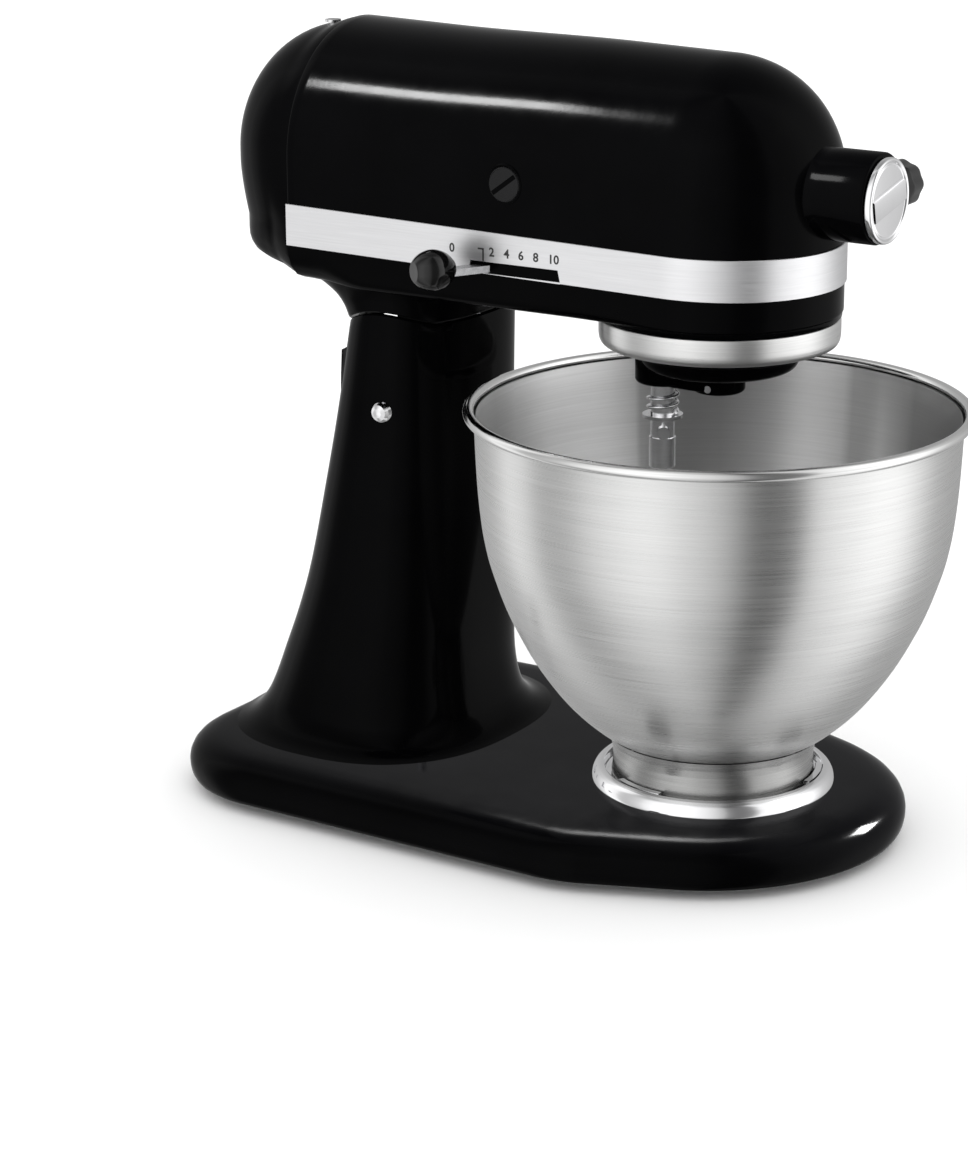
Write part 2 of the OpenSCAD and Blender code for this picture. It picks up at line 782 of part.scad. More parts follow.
module hub_socket() {
  color([0.7, 0.7, 0.72]) upper()
  difference() {
    rod_x(112, 0, axis_z, 9, 17);
    block([114, -4.9, axis_z - 4.9], [135, 4.9, axis_z + 4.9]);
  }
}

module hub_bush() {
  color([0.7, 0.5, 0.25]) upper()
  difference() {
    rod_x(104.5, 0, axis_z, 14, 14);
    rod_x(100, 0, axis_z, 9.05, 30);
  }
}

// ---------- beater shaft ----------

module beater_shaft() {
  color([0.7, 0.7, 0.72]) upper()
  difference() {
    translate([beater_x, beater_y, 0]) rotate_extrude()
      polygon([[0, 172.4], [shaft_r - 1, 172.4], [shaft_r, 173.4],
      [shaft_r, 186.4], [neck_r, 186.4], [neck_r, 231.3], [4.5, 231.3], [4.5, 241], [0, 241]]);
    rotate_about(beater_x, beater_y, 303) rod_x(-10, 0, 189.7, 2.8, 20);
  }
}

module cross_pin() {
  color([0.75, 0.75, 0.77]) upper()
  rotate_about(beater_x, beater_y, 303) rod_x(-9, 0, 189.7, 2.8, 18);
}

module shaft_washer() {
  color([0.7, 0.7, 0.72]) upper()
  translate([beater_x, beater_y, 0]) difference() {
    cylinder_between(8.8, 195.2, 196.6);
    cylinder_between(neck_r + 0.1, 190, 200);
  }
}

module shaft_spring() {
  color([0.65, 0.65, 0.67]) upper()
  translate([beater_x, beater_y, 0]) for (z = [197.6 : 3.2 : 204])
    rotate_extrude() translate([6.5, z]) circle(r = 0.8, $fn = 16);
}

module drive_pinion() {
  color([0.6, 0.6, 0.62]) upper()
  translate([beater_x, beater_y, 231.6]) difference() {
    linear_extrude(8.6) rotate(orbit_dir) gear_2d(drive_teeth, 12, 1.3, 1.6);
    cylinder_between(4.5, -1, 12);
  }
}

// ---------- controls on the head ----------

module hub_cap() {
  color([0.8, 0.8, 0.82]) upper() {
    rod_x(130, 0, axis_z, 14.9, 14);
    translate([143.6, 0, axis_z]) rotate([0, 90, 0]) rotate_extrude()
      polygon([[0, 0], [18.4, 0], [18.9, 0.8], [18.7, 2.6], [17.6, 3.6], [16.8, 3.2], [0, 3.2]]);
    // raised bar across the face
    block([146, -15.5, axis_z - 4], [147.4, 15.5, axis_z + 4]);
  }
}

module hub_screw() {
  color([0.7, 0.7, 0.72]) upper()
  rod_y(134, 16, axis_z, 3, 12);
}

module hub_knob() {
  color([0.03, 0.03, 0.03]) upper()
  translate([134, 22, axis_z]) rotate([-90, 0, 0]) difference() {
    union() {
      cylinder(r = 6, h = 5);
      translate([0, 0, 3]) rotate_extrude($fn = 8)
        polygon([[0, 0], [8, 0], [10.4, 4], [10.4, 12], [8.4, 15.5], [0, 16]]);
    }
    translate([0, 0, -1]) cylinder(r = 3, h = 7);
  }
}

module speed_arm() {
  color([0.75, 0.75, 0.77]) upper()
  difference() {
    rotate_about(lever_x, lever_y, 270 - lever_turn) union() {
      cylinder_between(7, lever_z - 1.5, lever_z + 1.5);
      block([0, -3, lever_z - 1.5], [46, 3, lever_z + 1.5]);
    }
    rod_z(lever_x, lever_y, 240, 3.05, 40);
  }
}

module speed_knob() {
  color([0.02, 0.02, 0.02]) upper()
  difference() {
    rotate_about(lever_x, lever_y, 270 - lever_turn) translate([53.4, 0, lever_z + 1.4]) rotate([0, 90, 0])
      rotate_extrude() polygon([[0, -9], [3.6, -9], [7.2, -6.2], [9.2, -2.6], [9.6, 0.6],
        [8.8, 4], [6.4, 7.4], [3.4, 9.2], [0, 9.7]]);
    rotate_about(lever_x, lever_y, 270 - lever_turn) block([40, -3, lever_z - 1.5], [46, 3, lever_z + 1.5]);
  }
}

module speed_cam() {
  color([0.5, 0.5, 0.52]) upper()
  difference() {
    rotate_about(lever_x, lever_y, 90 - lever_turn) union() {
      cylinder_between(8, lever_z + 1.52, lever_z + 3.5);
      block([0, -4, lever_z + 1.52], [16, 4, lever_z + 3.5]);
    }
    rod_z(lever_x, lever_y, 240, 3.05, 40);
  }
}

base();
column();
feet();
column_screws();
column_washers();
clamp_plate();
clamp_screws();
hinge_pin();
pin_set_screw();
height_screw();
lock_shaft();
lock_lever();
lock_knob();
bowl();
bowl_foot();
head_shell();
gearcase();
end_cover();
end_cover_screw();
trim_band();
drip_ring();
ring_gear();
case_screws();
hub_bush();
brush_holders();
brush_caps();
brushes();
brush_springs();
stator();
field_coils();
motor_bearings();
rear_bracket();
control_plate();
cord_gland();
armature_shaft();
worm();
armature_core();
commutator();
fan();
governor();
worm_wheel();
wheel_bearings();
centre_gear();
planetary();
planetary_pin();
beater_shaft();
drive_pinion();
cross_pin();
shaft_spring();
shaft_washer();
hub_gear();
hub_socket();
hub_cap();
hub_screw();
hub_knob();
speed_arm();
speed_knob();
speed_cam();
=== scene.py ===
import bpy, bmesh, json, math
import numpy as np
from mathutils import Matrix, Vector


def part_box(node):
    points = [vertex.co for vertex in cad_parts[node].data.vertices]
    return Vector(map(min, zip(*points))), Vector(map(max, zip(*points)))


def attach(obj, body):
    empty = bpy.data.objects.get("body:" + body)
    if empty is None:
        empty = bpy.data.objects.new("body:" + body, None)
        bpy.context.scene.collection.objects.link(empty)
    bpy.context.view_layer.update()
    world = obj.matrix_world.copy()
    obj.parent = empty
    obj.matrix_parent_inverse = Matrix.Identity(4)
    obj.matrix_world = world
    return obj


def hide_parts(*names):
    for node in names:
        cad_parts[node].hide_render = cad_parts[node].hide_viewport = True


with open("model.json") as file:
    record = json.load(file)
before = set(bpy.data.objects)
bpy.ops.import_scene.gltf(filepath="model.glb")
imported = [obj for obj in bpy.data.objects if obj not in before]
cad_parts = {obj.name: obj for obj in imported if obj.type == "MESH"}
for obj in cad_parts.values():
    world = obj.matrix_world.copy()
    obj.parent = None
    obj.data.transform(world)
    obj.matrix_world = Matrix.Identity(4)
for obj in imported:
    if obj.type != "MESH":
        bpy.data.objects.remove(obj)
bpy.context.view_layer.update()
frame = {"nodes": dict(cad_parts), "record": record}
MM = 0.001

# ---------- dimensions shared with the CAD model, in millimetres ----------
BOWL_X = (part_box("bowl")[0].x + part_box("bowl")[1].x) / 2 / MM
BOWL_R = (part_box("bowl")[1].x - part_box("bowl")[0].x) / 2 / MM
RIM_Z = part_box("bowl")[1].z / MM - 2.3
AXIS_Z, NOSE_R, TAIL_R = 297.5, 52.8, 56.8
SEAM_X, TAIL_X = -118.5, -166.6
PIN_X, PIN_Z, JOINT_R = -76.5, 187.5, 44.0
SHELF_Z = 227.0
# everything from the hinge up is laid out for a pin at PIN_Z, then moved by this much
LIFT = (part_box("hinge_pin")[0].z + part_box("hinge_pin")[1].z) / 2 / MM - PIN_Z
ORBIT_DIR = math.radians(213)
BEATER = (BOWL_X + 24 * math.cos(ORBIT_DIR), 24 * math.sin(ORBIT_DIR))
LEVER = (-2.5, -28.6, 260.6)
LEVER_DIR = math.radians(270 - 29.7)
BRUSH_X = -6.7


# ---------- mesh helpers ----------
def make(name, verts, faces, mat, body, replaces=(), angle=35, weld=1e-5):
    """A mesh piece from millimetre vertices, smooth except over sharp edges, riding on a body."""
    me = bpy.data.meshes.new(name)
    lift = 0 if body in ("stand", "bowl") else LIFT
    verts = [(v[0], v[1], v[2] + lift) for v in verts]
    me.from_pydata([tuple(float(c) * MM for c in v) for v in verts], [],
                   [tuple(int(i) for i in f) for f in faces])
    bm = bmesh.new()
    bm.from_mesh(me)
    bmesh.ops.remove_doubles(bm, verts=bm.verts, dist=weld)
    bmesh.ops.dissolve_degenerate(bm, dist=1e-7, edges=bm.edges)
    bmesh.ops.recalc_face_normals(bm, faces=bm.faces)
    bm.to_mesh(me)
    bm.free()
    me.shade_smooth()
    me.set_sharp_from_angle(angle=math.radians(angle))
    obj = bpy.data.objects.new(name, me)
    bpy.context.scene.collection.objects.link(obj)
    me.materials.append(mat)
    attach(obj, body)
    if replaces:
        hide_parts(*replaces)
    return obj


class Builder:
    """Collects grids and faces into one mesh."""

    def __init__(self):
        self.v, self.f = [], []

    def grid(self, rows, closed=False, flip=False):
        """rows: list of equal-length point lists. closed joins the last column to the first."""
        base, n = len(self.v), len(rows[0])
        for r in rows:
            self.v.extend(r)
        for i in range(len(rows) - 1):
            for j in range(n if closed else n - 1):
                a, b = base + i * n + j, base + i * n + (j + 1) % n
                c, d = b + n, a + n
                self.f.append((a, d, c, b) if flip else (a, b, c, d))
        return base

    def cap(self, points):
        base = len(self.v)
        self.v.extend(points)
        self.f.append(tuple(range(base, base + len(points))))

    def lathe(self, profile, centre=(0, 0), n=128, axis="z", start=0.0, sweep=360.0, place=None):
        """Turns (r, h) points about an axis through centre; open profiles that start and end on the axis close."""
        rows = []
        full = abs(sweep - 360) < 1e-6
        for k in range(n if full else n + 1):
            t = math.radians(start + sweep * k / n)
            c, s = math.cos(t), math.sin(t)
            row = []
            for r, h in profile:
                p = (r * c, r * s, h)
                if axis == "x":
                    p = (h, r * c, r * s)
                elif axis == "y":
                    p = (r * c, h, r * s)
                if place:
                    p = place(p)
                elif axis == "z":
                    p = (p[0] + centre[0], p[1] + centre[1], p[2])
                row.append(p)
            rows.append(row)
        if full:
            rows.append(rows[0])
        self.grid(rows)
        if not full:
            self.cap(rows[0])
            self.cap(rows[-1])

    def block(self, lo, hi, place=None):
        p = [(x, y, z) for x in (lo[0], hi[0]) for y in (lo[1], hi[1]) for z in (lo[2], hi[2])]
        if place:
            p = [place(q) for q in p]
        b = len(self.v)
        self.v.extend(p)
        self.f.extend([tuple(b + i for i in q) for q in
                       [(0, 1, 3, 2), (4, 6, 7, 5), (0, 4, 5, 1), (2, 3, 7, 6), (0, 2, 6, 4), (1, 5, 7, 3)]])


def bend(points, r, steps=5):
    """Rounds the corners of an open polyline of (r, h) points to radius r."""
    out = [points[0]]
    for a, b, c in zip(points, points[1:], points[2:]):
        a, b, c = map(np.array, (a, b, c))
        u, w = a - b, c - b
        lu, lw = np.linalg.norm(u), np.linalg.norm(w)
        d = min(r, lu * 0.48, lw * 0.48)
        p, q = b + u / lu * d, b + w / lw * d
        for k in range(steps + 1):
            t = k / steps
            out.append(tuple((1 - t) ** 2 * p + 2 * t * (1 - t) * b + t * t * q))
    out.append(points[-1])
    return out


def smooth_curve(keys, x):
    """Monotone-ish cubic through (x, y) keys."""
    xs, ys = np.array([k[0] for k in keys], float), np.array([k[1] for k in keys], float)
    h = np.diff(xs)
    d = np.diff(ys) / h
    m = np.zeros_like(ys)
    m[0], m[-1] = d[0], d[-1]
    for i in range(1, len(ys) - 1):
        m[i] = 0 if d[i - 1] * d[i] <= 0 else 2 * d[i - 1] * d[i] / (d[i - 1] + d[i])
    x = np.clip(np.asarray(x, float), xs[0], xs[-1])
    i = np.clip(np.searchsorted(xs, x) - 1, 0, len(h) - 1)
    t = (x - xs[i]) / h[i]
    return (ys[i] * (1 + 2 * t) * (1 - t) ** 2 + m[i] * h[i] * t * (1 - t) ** 2
            + ys[i + 1] * t * t * (3 - 2 * t) + m[i + 1] * h[i] * t * t * (t - 1))


# ---------- materials ----------
def material(name):
    m = bpy.data.materials.new(name)
    m.use_nodes = True
    nt = m.node_tree
    bsdf = nt.nodes["Principled BSDF"]
    return m, nt, bsdf


def add(nt, kind, **props):
    n = nt.nodes.new(kind)
    for k, v in props.items():
        if k in n.inputs.keys():
            n.inputs[k].default_value = v
        else:
            setattr(n, k, v)
    return n


def noise_bump(nt, bsdf, scale, strength, distance, detail=4.0, stretch=(1, 1, 1)):
    tc = add(nt, "ShaderNodeTexCoord")
    mp = add(nt, "ShaderNodeMapping", Scale=stretch)
    ns = add(nt, "ShaderNodeTexNoise", Scale=scale, Detail=detail, Roughness=0.55)
    bp = add(nt, "ShaderNodeBump", Strength=strength, Distance=distance)
    nt.links.new(tc.outputs["Object"], mp.inputs["Vector"])
    nt.links.new(mp.outputs["Vector"], ns.inputs["Vector"])
    nt.links.new(ns.outputs["Fac"], bp.inputs["Height"])
    nt.links.new(bp.outputs["Normal"], bsdf.inputs["Normal"])


def vary_roughness(nt, bsdf, scale, low, high, stretch=(1, 1, 1), detail=5.0):
    tc = add(nt, "ShaderNodeTexCoord")
    mp = add(nt, "ShaderNodeMapping", Scale=stretch)
    ns = add(nt, "ShaderNodeTexNoise", Scale=scale, Detail=detail, Roughness=0.6)
    mr = add(nt, "ShaderNodeMapRange")
    mr.inputs["From Min"].default_value, mr.inputs["From Max"].default_value = 0.3, 0.7
    mr.inputs["To Min"].default_value, mr.inputs["To Max"].default_value = low, high
    nt.links.new(tc.outputs["Object"], mp.inputs["Vector"])
    nt.links.new(mp.outputs["Vector"], ns.inputs["Vector"])
    nt.links.new(ns.outputs["Fac"], mr.inputs["Value"])
    nt.links.new(mr.outputs["Result"], bsdf.inputs["Roughness"])


def vary_colour(nt, bsdf, scale, dark, light, stretch=(1, 1, 1), detail=4.0):
    tc = add(nt, "ShaderNodeTexCoord")
    mp = add(nt, "ShaderNodeMapping", Scale=stretch)
    ns = add(nt, "ShaderNodeTexNoise", Scale=scale, Detail=detail, Roughness=0.6)
    cr = add(nt, "ShaderNodeValToRGB")
    cr.color_ramp.elements[0].position, cr.color_ramp.elements[1].position = 0.3, 0.7
    cr.color_ramp.elements[0].color = (*dark, 1)
    cr.color_ramp.elements[1].color = (*light, 1)
    nt.links.new(tc.outputs["Object"], mp.inputs["Vector"])
    nt.links.new(mp.outputs["Vector"], ns.inputs["Vector"])
    nt.links.new(ns.outputs["Fac"], cr.inputs["Fac"])
    nt.links.new(cr.outputs["Color"], bsdf.inputs["Base Color"])


def enamel(name):
    m, nt, b = material(name)
    vary_colour(nt, b, 18, (0.0005, 0.0005, 0.0006), (0.0010, 0.0010, 0.0012))
    b.inputs["Specular IOR Level"].default_value = 0.025
    vary_roughness(nt, b, 60, 0.09, 0.14)
    noise_bump(nt, b, 420, 0.03, 0.0003, detail=2.0)
    return m


def plastic(name, colour, low, high, grain=900, strength=0.08, shine=0.5):
    m, nt, b = material(name)
    b.inputs["Specular IOR Level"].default_value = shine
    vary_colour(nt, b, 80, tuple(c * 0.8 for c in colour), tuple(c * 1.15 for c in colour))
    vary_roughness(nt, b, 150, low, high)
    noise_bump(nt, b, grain, strength, 0.0002, detail=3.0)
    return m


def metal(name, colour, low, high, stretch=(1, 1, 1), scale=300, strength=0.05, spread=0.06):
    """Plain metal, its colour and roughness varied by noise between low and high."""
    m, nt, b = material(name)
    b.inputs["Metallic"].default_value = 1.0
    dark = tuple(max(c * (1 - spread), 0) for c in colour)
    light = tuple(min(c * (1 + spread), 1) for c in colour)
    vary_colour(nt, b, scale * 0.6, dark, light, stretch)
    vary_roughness(nt, b, scale, low, high, stretch)
    noise_bump(nt, b, scale, strength, 0.0003, stretch=stretch)
    return m


# painted reflection on the inside of the bowl: bright and dark bands painted into its colour round the bowl, as
# (angle in degrees, brightness)
PAINTED_REFLECTIONS = [(-180, 1.2), (-176, 1.1), (-170, 0.92), (0, 0.9), (50, 0.6), (62, 0.5), (66, 0.66), (70, 0.86), (74, 1.16),
          (79, 1.02), (83.5, 0.94), (85, 1.18), (92, 1.2), (96, 1.2), (100, 1.15), (107, 0.98), (112, 0.82),
          (118, 0.71), (124, 0.76), (129, 0.82), (136, 0.86), (139.7, 0.9), (140.7, 1.2), (146, 1.2), (153, 1.2),
          (166, 1.2), (180, 1.2)]
TOP_PAINTED_REFLECTION = 1.2


def spun_steel(name, cx, low, high, aniso, lines=1400.0, colour=(0.60, 0.595, 0.585), depth=0.16, painted_bands=None):
    """Steel polished on a lathe: fine lines round a vertical axis through x = cx."""
    m, nt, b = material(name)
    b.inputs["Metallic"].default_value = 1.0
    tc = add(nt, "ShaderNodeTexCoord")
    mp = add(nt, "ShaderNodeMapping")
    mp.inputs["Location"].default_value = (-cx * MM, 0, 0)
    sep = add(nt, "ShaderNodeSeparateXYZ")
    nt.links.new(tc.outputs["Object"], mp.inputs["Vector"])
    nt.links.new(mp.outputs["Vector"], sep.inputs["Vector"])
    # radius and angle about the axis
    xy = add(nt, "ShaderNodeCombineXYZ")
    nt.links.new(sep.outputs["X"], xy.inputs["X"])
    nt.links.new(sep.outputs["Y"], xy.inputs["Y"])
    rad = add(nt, "ShaderNodeVectorMath", operation="LENGTH")
    nt.links.new(xy.outputs["Vector"], rad.inputs[0])
    ang = add(nt, "ShaderNodeMath", operation="ARCTAN2")
    nt.links.new(sep.outputs["Y"], ang.inputs[0])
    nt.links.new(sep.outputs["X"], ang.inputs[1])
    rz = add(nt, "ShaderNodeMath", operation="ADD")
    nt.links.new(rad.outputs["Value"], rz.inputs[0])
    nt.links.new(sep.outputs["Z"], rz.inputs[1])
    # long streaks: fine across the lines, slow along them
    co = add(nt, "ShaderNodeCombineXYZ")
    k1 = add(nt, "ShaderNodeMath", operation="MULTIPLY")
    k1.inputs[1].default_value = lines
    nt.links.new(sep.outputs["Z"], k1.inputs[0])
    k2 = add(nt, "ShaderNodeMath", operation="MULTIPLY")
    k2.inputs[1].default_value = lines
    nt.links.new(rad.outputs["Value"], k2.inputs[0])
    k3 = add(nt, "ShaderNodeMath", operation="MULTIPLY")
    k3.inputs[1].default_value = 1.6
    nt.links.new(ang.outputs["Value"], k3.inputs[0])
    nt.links.new(k1.outputs["Value"], co.inputs["X"])
    nt.links.new(k2.outputs["Value"], co.inputs["Y"])
    nt.links.new(k3.outputs["Value"], co.inputs["Z"])
    ns = add(nt, "ShaderNodeTexNoise", Scale=1.0, Detail=3.0, Roughness=0.7)
    nt.links.new(co.outputs["Vector"], ns.inputs["Vector"])
    mr = add(nt, "ShaderNodeMapRange")
    mr.inputs["From Min"].default_value, mr.inputs["From Max"].default_value = 0.25, 0.75
    mr.inputs["To Min"].default_value, mr.inputs["To Max"].default_value = low, high
    nt.links.new(ns.outputs["Fac"], mr.inputs["Value"])
    nt.links.new(mr.outputs["Result"], b.inputs["Roughness"])
    cr = add(nt, "ShaderNodeValToRGB")
    cr.color_ramp.elements[0].position, cr.color_ramp.elements[1].position = 0.2, 0.8
    cr.color_ramp.elements[0].color = (*[c * 0.86 for c in colour], 1)
    cr.color_ramp.elements[1].color = (*[min(c * 1.12, 1) for c in colour], 1)
    nt.links.new(ns.outputs["Fac"], cr.inputs["Fac"])
    nt.links.new(cr.outputs["Color"], b.inputs["Base Color"])
    # painted reflection: the colour is made lighter or darker round the axis from the table, as bands of reflected
    # light
    if painted_bands:
        turn = add(nt, "ShaderNodeMapRange")
        turn.inputs["From Min"].default_value, turn.inputs["From Max"].default_value = -math.pi, math.pi
        nt.links.new(ang.outputs["Value"], turn.inputs["Value"])
        level = add(nt, "ShaderNodeFloatCurve")
        points = level.mapping.curves[0].points
        for k, (deg, value) in enumerate(painted_bands):
            spot = ((deg + 180) / 360, value / TOP_PAINTED_REFLECTION)
            if k == 0:
                points[0].location = spot
            elif k == len(painted_bands) - 1:
                points[len(points) - 1].location = spot
            else:
                points.new(*spot)
        for point in points:
            point.handle_type = "VECTOR"
        level.mapping.update()
        scaled = add(nt, "ShaderNodeVectorMath", operation="SCALE")
        nt.links.new(turn.outputs["Result"], level.inputs["Value"])
        nt.links.new(cr.outputs["Color"], scaled.inputs[0])
        nt.links.new(level.outputs["Value"], scaled.inputs["Scale"])
        nt.links.new(scaled.outputs["Vector"], b.inputs["Base Color"])
    bp = add(nt, "ShaderNodeBump", Strength=depth, Distance=0.00012)
    nt.links.new(ns.outputs["Fac"], bp.inputs["Height"])
    nt.links.new(bp.outputs["Normal"], b.inputs["Normal"])
    b.inputs["Anisotropic"].default_value = aniso
    b.inputs["Anisotropic Rotation"].default_value = 0.25
    tg = add(nt, "ShaderNodeTangent", direction_type="RADIAL", axis="Z")
    nt.links.new(tg.outputs["Tangent"], b.inputs["Tangent"])
    return m


M = {
    "enamel": enamel("enamel_black"),
    "rubber": plastic("rubber_black", (0.02, 0.02, 0.02), 0.6, 0.8, 700, 0.2),
    "knob": plastic("moulded_black_gloss", (0.003, 0.003, 0.003), 0.06, 0.12, 500, 0.02, shine=0.42),
    "cap": plastic("moulded_black_satin", (0.004, 0.004, 0.0045), 0.22, 0.34, 1200, 0.1, shine=0.2),
    "zinc": metal("zinc_plated", (0.5, 0.5, 0.52), 0.3, 0.45),
    "chrome": metal("chrome_polished", (0.86, 0.86, 0.87), 0.04, 0.09, scale=120, strength=0.015, spread=0.02),
    "bright": metal("bright_steel", (0.72, 0.72, 0.73), 0.12, 0.2, scale=260, strength=0.03),
    "band": metal("band_brushed", (0.70, 0.70, 0.71), 0.3, 0.42, stretch=(0.02, 0.02, 1), scale=2600,
                  strength=0.05, spread=0.04),
    "ring": spun_steel("ring_satin", BOWL_X, 0.26, 0.36, 0.5, lines=1800, colour=(0.66, 0.66, 0.655)),
    "bowl": spun_steel("bowl_spun_steel", BOWL_X, 0.24, 0.34, 0.72, colour=(0.62, 0.62, 0.615)),
    # inside of the bowl: a brighter steel colour than the outside, banded round the bowl as painted reflection
    "bowl_in": spun_steel("bowl_spun_inside", BOWL_X, 0.30, 0.40, 0.9, colour=(1.0, 1.0, 0.995), painted_bands=PAINTED_REFLECTIONS),
    "foot": spun_steel("foot_spun_steel", BOWL_X, 0.22, 0.30, 0.5, colour=(0.34, 0.34, 0.335)),
    "bead": spun_steel("bead_polished", BOWL_X, 0.10, 0.16, 0.3, depth=0.05, colour=(0.72, 0.72, 0.715)),
    "lever": metal("lever_steel", (0.42, 0.42, 0.43), 0.22, 0.36, scale=420, strength=0.12),
    "turned": metal("turned_steel", (0.86, 0.86, 0.87), 0.16, 0.24, stretch=(0.1, 0.1, 1), scale=1500,
                    strength=0.08),
    "machined": metal("machined_steel", (0.45, 0.45, 0.46), 0.3, 0.45, scale=500, strength=0.1),
    "cast": metal("cast_aluminium", (0.6, 0.6, 0.61), 0.4, 0.55, scale=350, strength=0.25),
    "brass": metal("brass_plain", (0.72, 0.54, 0.25), 0.25, 0.4, scale=300),
    "bronze": metal("bronze_bush", (0.55, 0.37, 0.2), 0.35, 0.5, scale=600, strength=0.2),
    "copper": metal("copper_winding", (0.6, 0.3, 0.14), 0.3, 0.45, stretch=(12, 1, 1), scale=150, strength=0.3),
    "carbon": plastic("carbon_block", (0.02, 0.02, 0.02), 0.5, 0.7),
    "board": plastic("phenolic_board", (0.16, 0.08, 0.04), 0.4, 0.6, 300, 0.15),
    "ink": plastic("printed_ink", (0.015, 0.015, 0.015), 0.4, 0.5),
}

SLOT_MATERIAL = {
    "black_enamel": "enamel", "rubber_feet": "rubber", "cord_rubber": "rubber", "fasteners": "zinc",
    "chrome_trim": "chrome", "bright_steel": "bright", "lever_steel": "lever", "knob_black": "knob",
    "stainless": "bowl", "satin_metal": "band", "satin_ring": "ring", "planetary_black": "enamel",
    "shaft_steel": "turned", "cap_black": "cap", "brass_parts": "brass", "bronze_parts": "bronze",
    "carbon": "carbon", "inner_steel": "machined", "inner_aluminium": "cast", "copper": "copper",
    "wheel_bronze": "bronze", "board": "board",
}
slot_of = {s["node"]: s["material_slot"] for s in frame["record"]["subparts"]}
for node, obj in frame["nodes"].items():
    mat = M[SLOT_MATERIAL[slot_of[node]]]
    if obj.material_slots:
        for s in obj.material_slots:
            s.material = mat
    else:
        obj.data.materials.append(mat)


# ---------- head ----------
def half_outline(step=3.0):
    """(x, half width) from the seam to the nose of the head."""
    xs = list(np.linspace(SEAM_X, BOWL_X, 40))
    pts = [(x, TAIL_R + (NOSE_R - TAIL_R) * (x - SEAM_X) / (BOWL_X - SEAM_X)) for x in xs[:-1]]
    for k in range(0, 31):
        a = math.radians(3 * k)
        pts.append((BOWL_X + NOSE_R * math.sin(a), NOSE_R * math.cos(a) if k < 30 else 0.0))
    return pts


def tail_outline():
    """(x, half width) from inside the seam to the back of the end cover."""
    width, squareness = TAIL_R - 0.6, 0.85
    pts = [(SEAM_X + 3, width)]
    for k in range(0, 46):
        a = math.radians(2 * k)
        c, s = max(math.sin(a), 0.0), max(math.cos(a), 0.0)
        pts.append((SEAM_X - (SEAM_X - TAIL_X) * c ** squareness, width * (s ** squareness if k < 45 else 0.0)))
    return pts


def ridge(x, w):
    """How far the crown stands off a true half circle: proud over the bowl, flattened behind the seam."""
    t = min(max((x + 70) / 90, 0), 1)
    u = min(max((SEAM_X - x) / 10, 0), 1)
    return (1.6 * t * t * (3 - 2 * t) - 2.2 * u * u * (3 - 2 * u)) * min(w / 40, 1)


def dome(b, half, steps=48):
    """Half circles over the outline, about the motor axis."""
    b.grid([[(x, -w * math.cos(math.pi * j / steps), AXIS_Z + (w + ridge(x, w)) * math.sin(math.pi * j / steps))
             for j in range(steps + 1)] for x, w in half])


def loop(half):
    """Left side forward, then right side back, as one open plan loop with outward normals."""
    pts = [(x, -w) for x, w in half] + [(x, w) for x, w in half[-2::-1]]
    p = np.array(pts)
    t = np.gradient(p, axis=0)
    n = np.stack([t[:, 1], -t[:, 0]], -1)
    n /= np.linalg.norm(n, axis=1)[:, None]
    mid = len(half) - 1
    n[mid] = (math.copysign(1, n[mid][0]) if abs(n[mid][0]) > 0.1 else 1, 0)
    if (n[2] @ np.array([0, -1])) < 0:
        n = -n
    return p, n


def walls(b, half, levels, close=True):
    """Walls below the motor axis. levels are (inset, z), either of them a number or a function of x."""
    p, n = loop(half)
    rows = []
    for inset, z in levels:
        q = p - n * (np.array([[inset(x)] for x in p[:, 0]]) if callable(inset) else inset)
        q[:, 1] = np.where(p[:, 1] > 0, np.maximum(q[:, 1], 0), np.minimum(q[:, 1], 0))
        rows.append([(x, y, z(x) if callable(z) else z) for x, y in q])
    b.grid(rows)
    if close:
        b.cap(rows[-1])


# upper casting with its hub
b = Builder()
half = half_outline()
rear = [(SEAM_X + 0.2, TAIL_R - 3), (SEAM_X, TAIL_R - 1.2), (SEAM_X + 0.25, TAIL_R - 0.4),
        (SEAM_X + 1.0, TAIL_R - 0.02)]
full_half = rear + half[1:]
dome(b, full_half)
walls(b, full_half, [(0, AXIS_Z), (0, 285), (0, 275), (0, 263), (3, 263)], close=False)
# hub barrel, blended into the nose
hub = [(27, 104), (24.5, 109), (22, 112.6), (20.4, 115.4), (19.5, 118.4), (19.3, 121), (19.3, 142.4), (18.9, 143.2),
       (18.2, 143.45), (15.2, 143.45), (15.2, 136)]
# shallow seat round each brush cap
for s in (-1, 1):
    b.lathe([(9.0, 53.9), (8.6, 54.4), (8.2, 54.35), (7.9, 53.6), (7.85, 51)], n=64, axis="y",
            place=lambda p, s=s: (p[0] + BRUSH_X, p[1] * s, p[2] + AXIS_Z))
make("head_casting", b.v, b.f, M["enamel"], "head", ["head_shell"], angle=40)
b = Builder()
b.lathe(hub, n=96, axis="x", place=lambda p: (p[0], p[1], p[2] + AXIS_Z))
make("hub_barrel", b.v, b.f, M["enamel"], "head", angle=40)

# lower casting: walls, rounded bottom edge, skirt, neck and hinge ears
b = Builder()


def undercut(x):
    """How large the round under the casting is: small at the nose, large where it runs into the neck."""
    t = min(max((-80 - x) / 38.5, 0), 1)
    u = min(max((x - 20) / 60, 0), 1)
    return 1 + 2.4 * t * t * (3 - 2 * t) - 0.8 * u * u * (3 - 2 * u)


def rounded(keys, foot, scale):
    """Levels of a rounded lower edge, its size scaled along x."""
    return [(lambda x, d=d: d * scale(x), lambda x, h=h: foot(x) + h * min(scale(x), 2.6)) for d, h in keys]


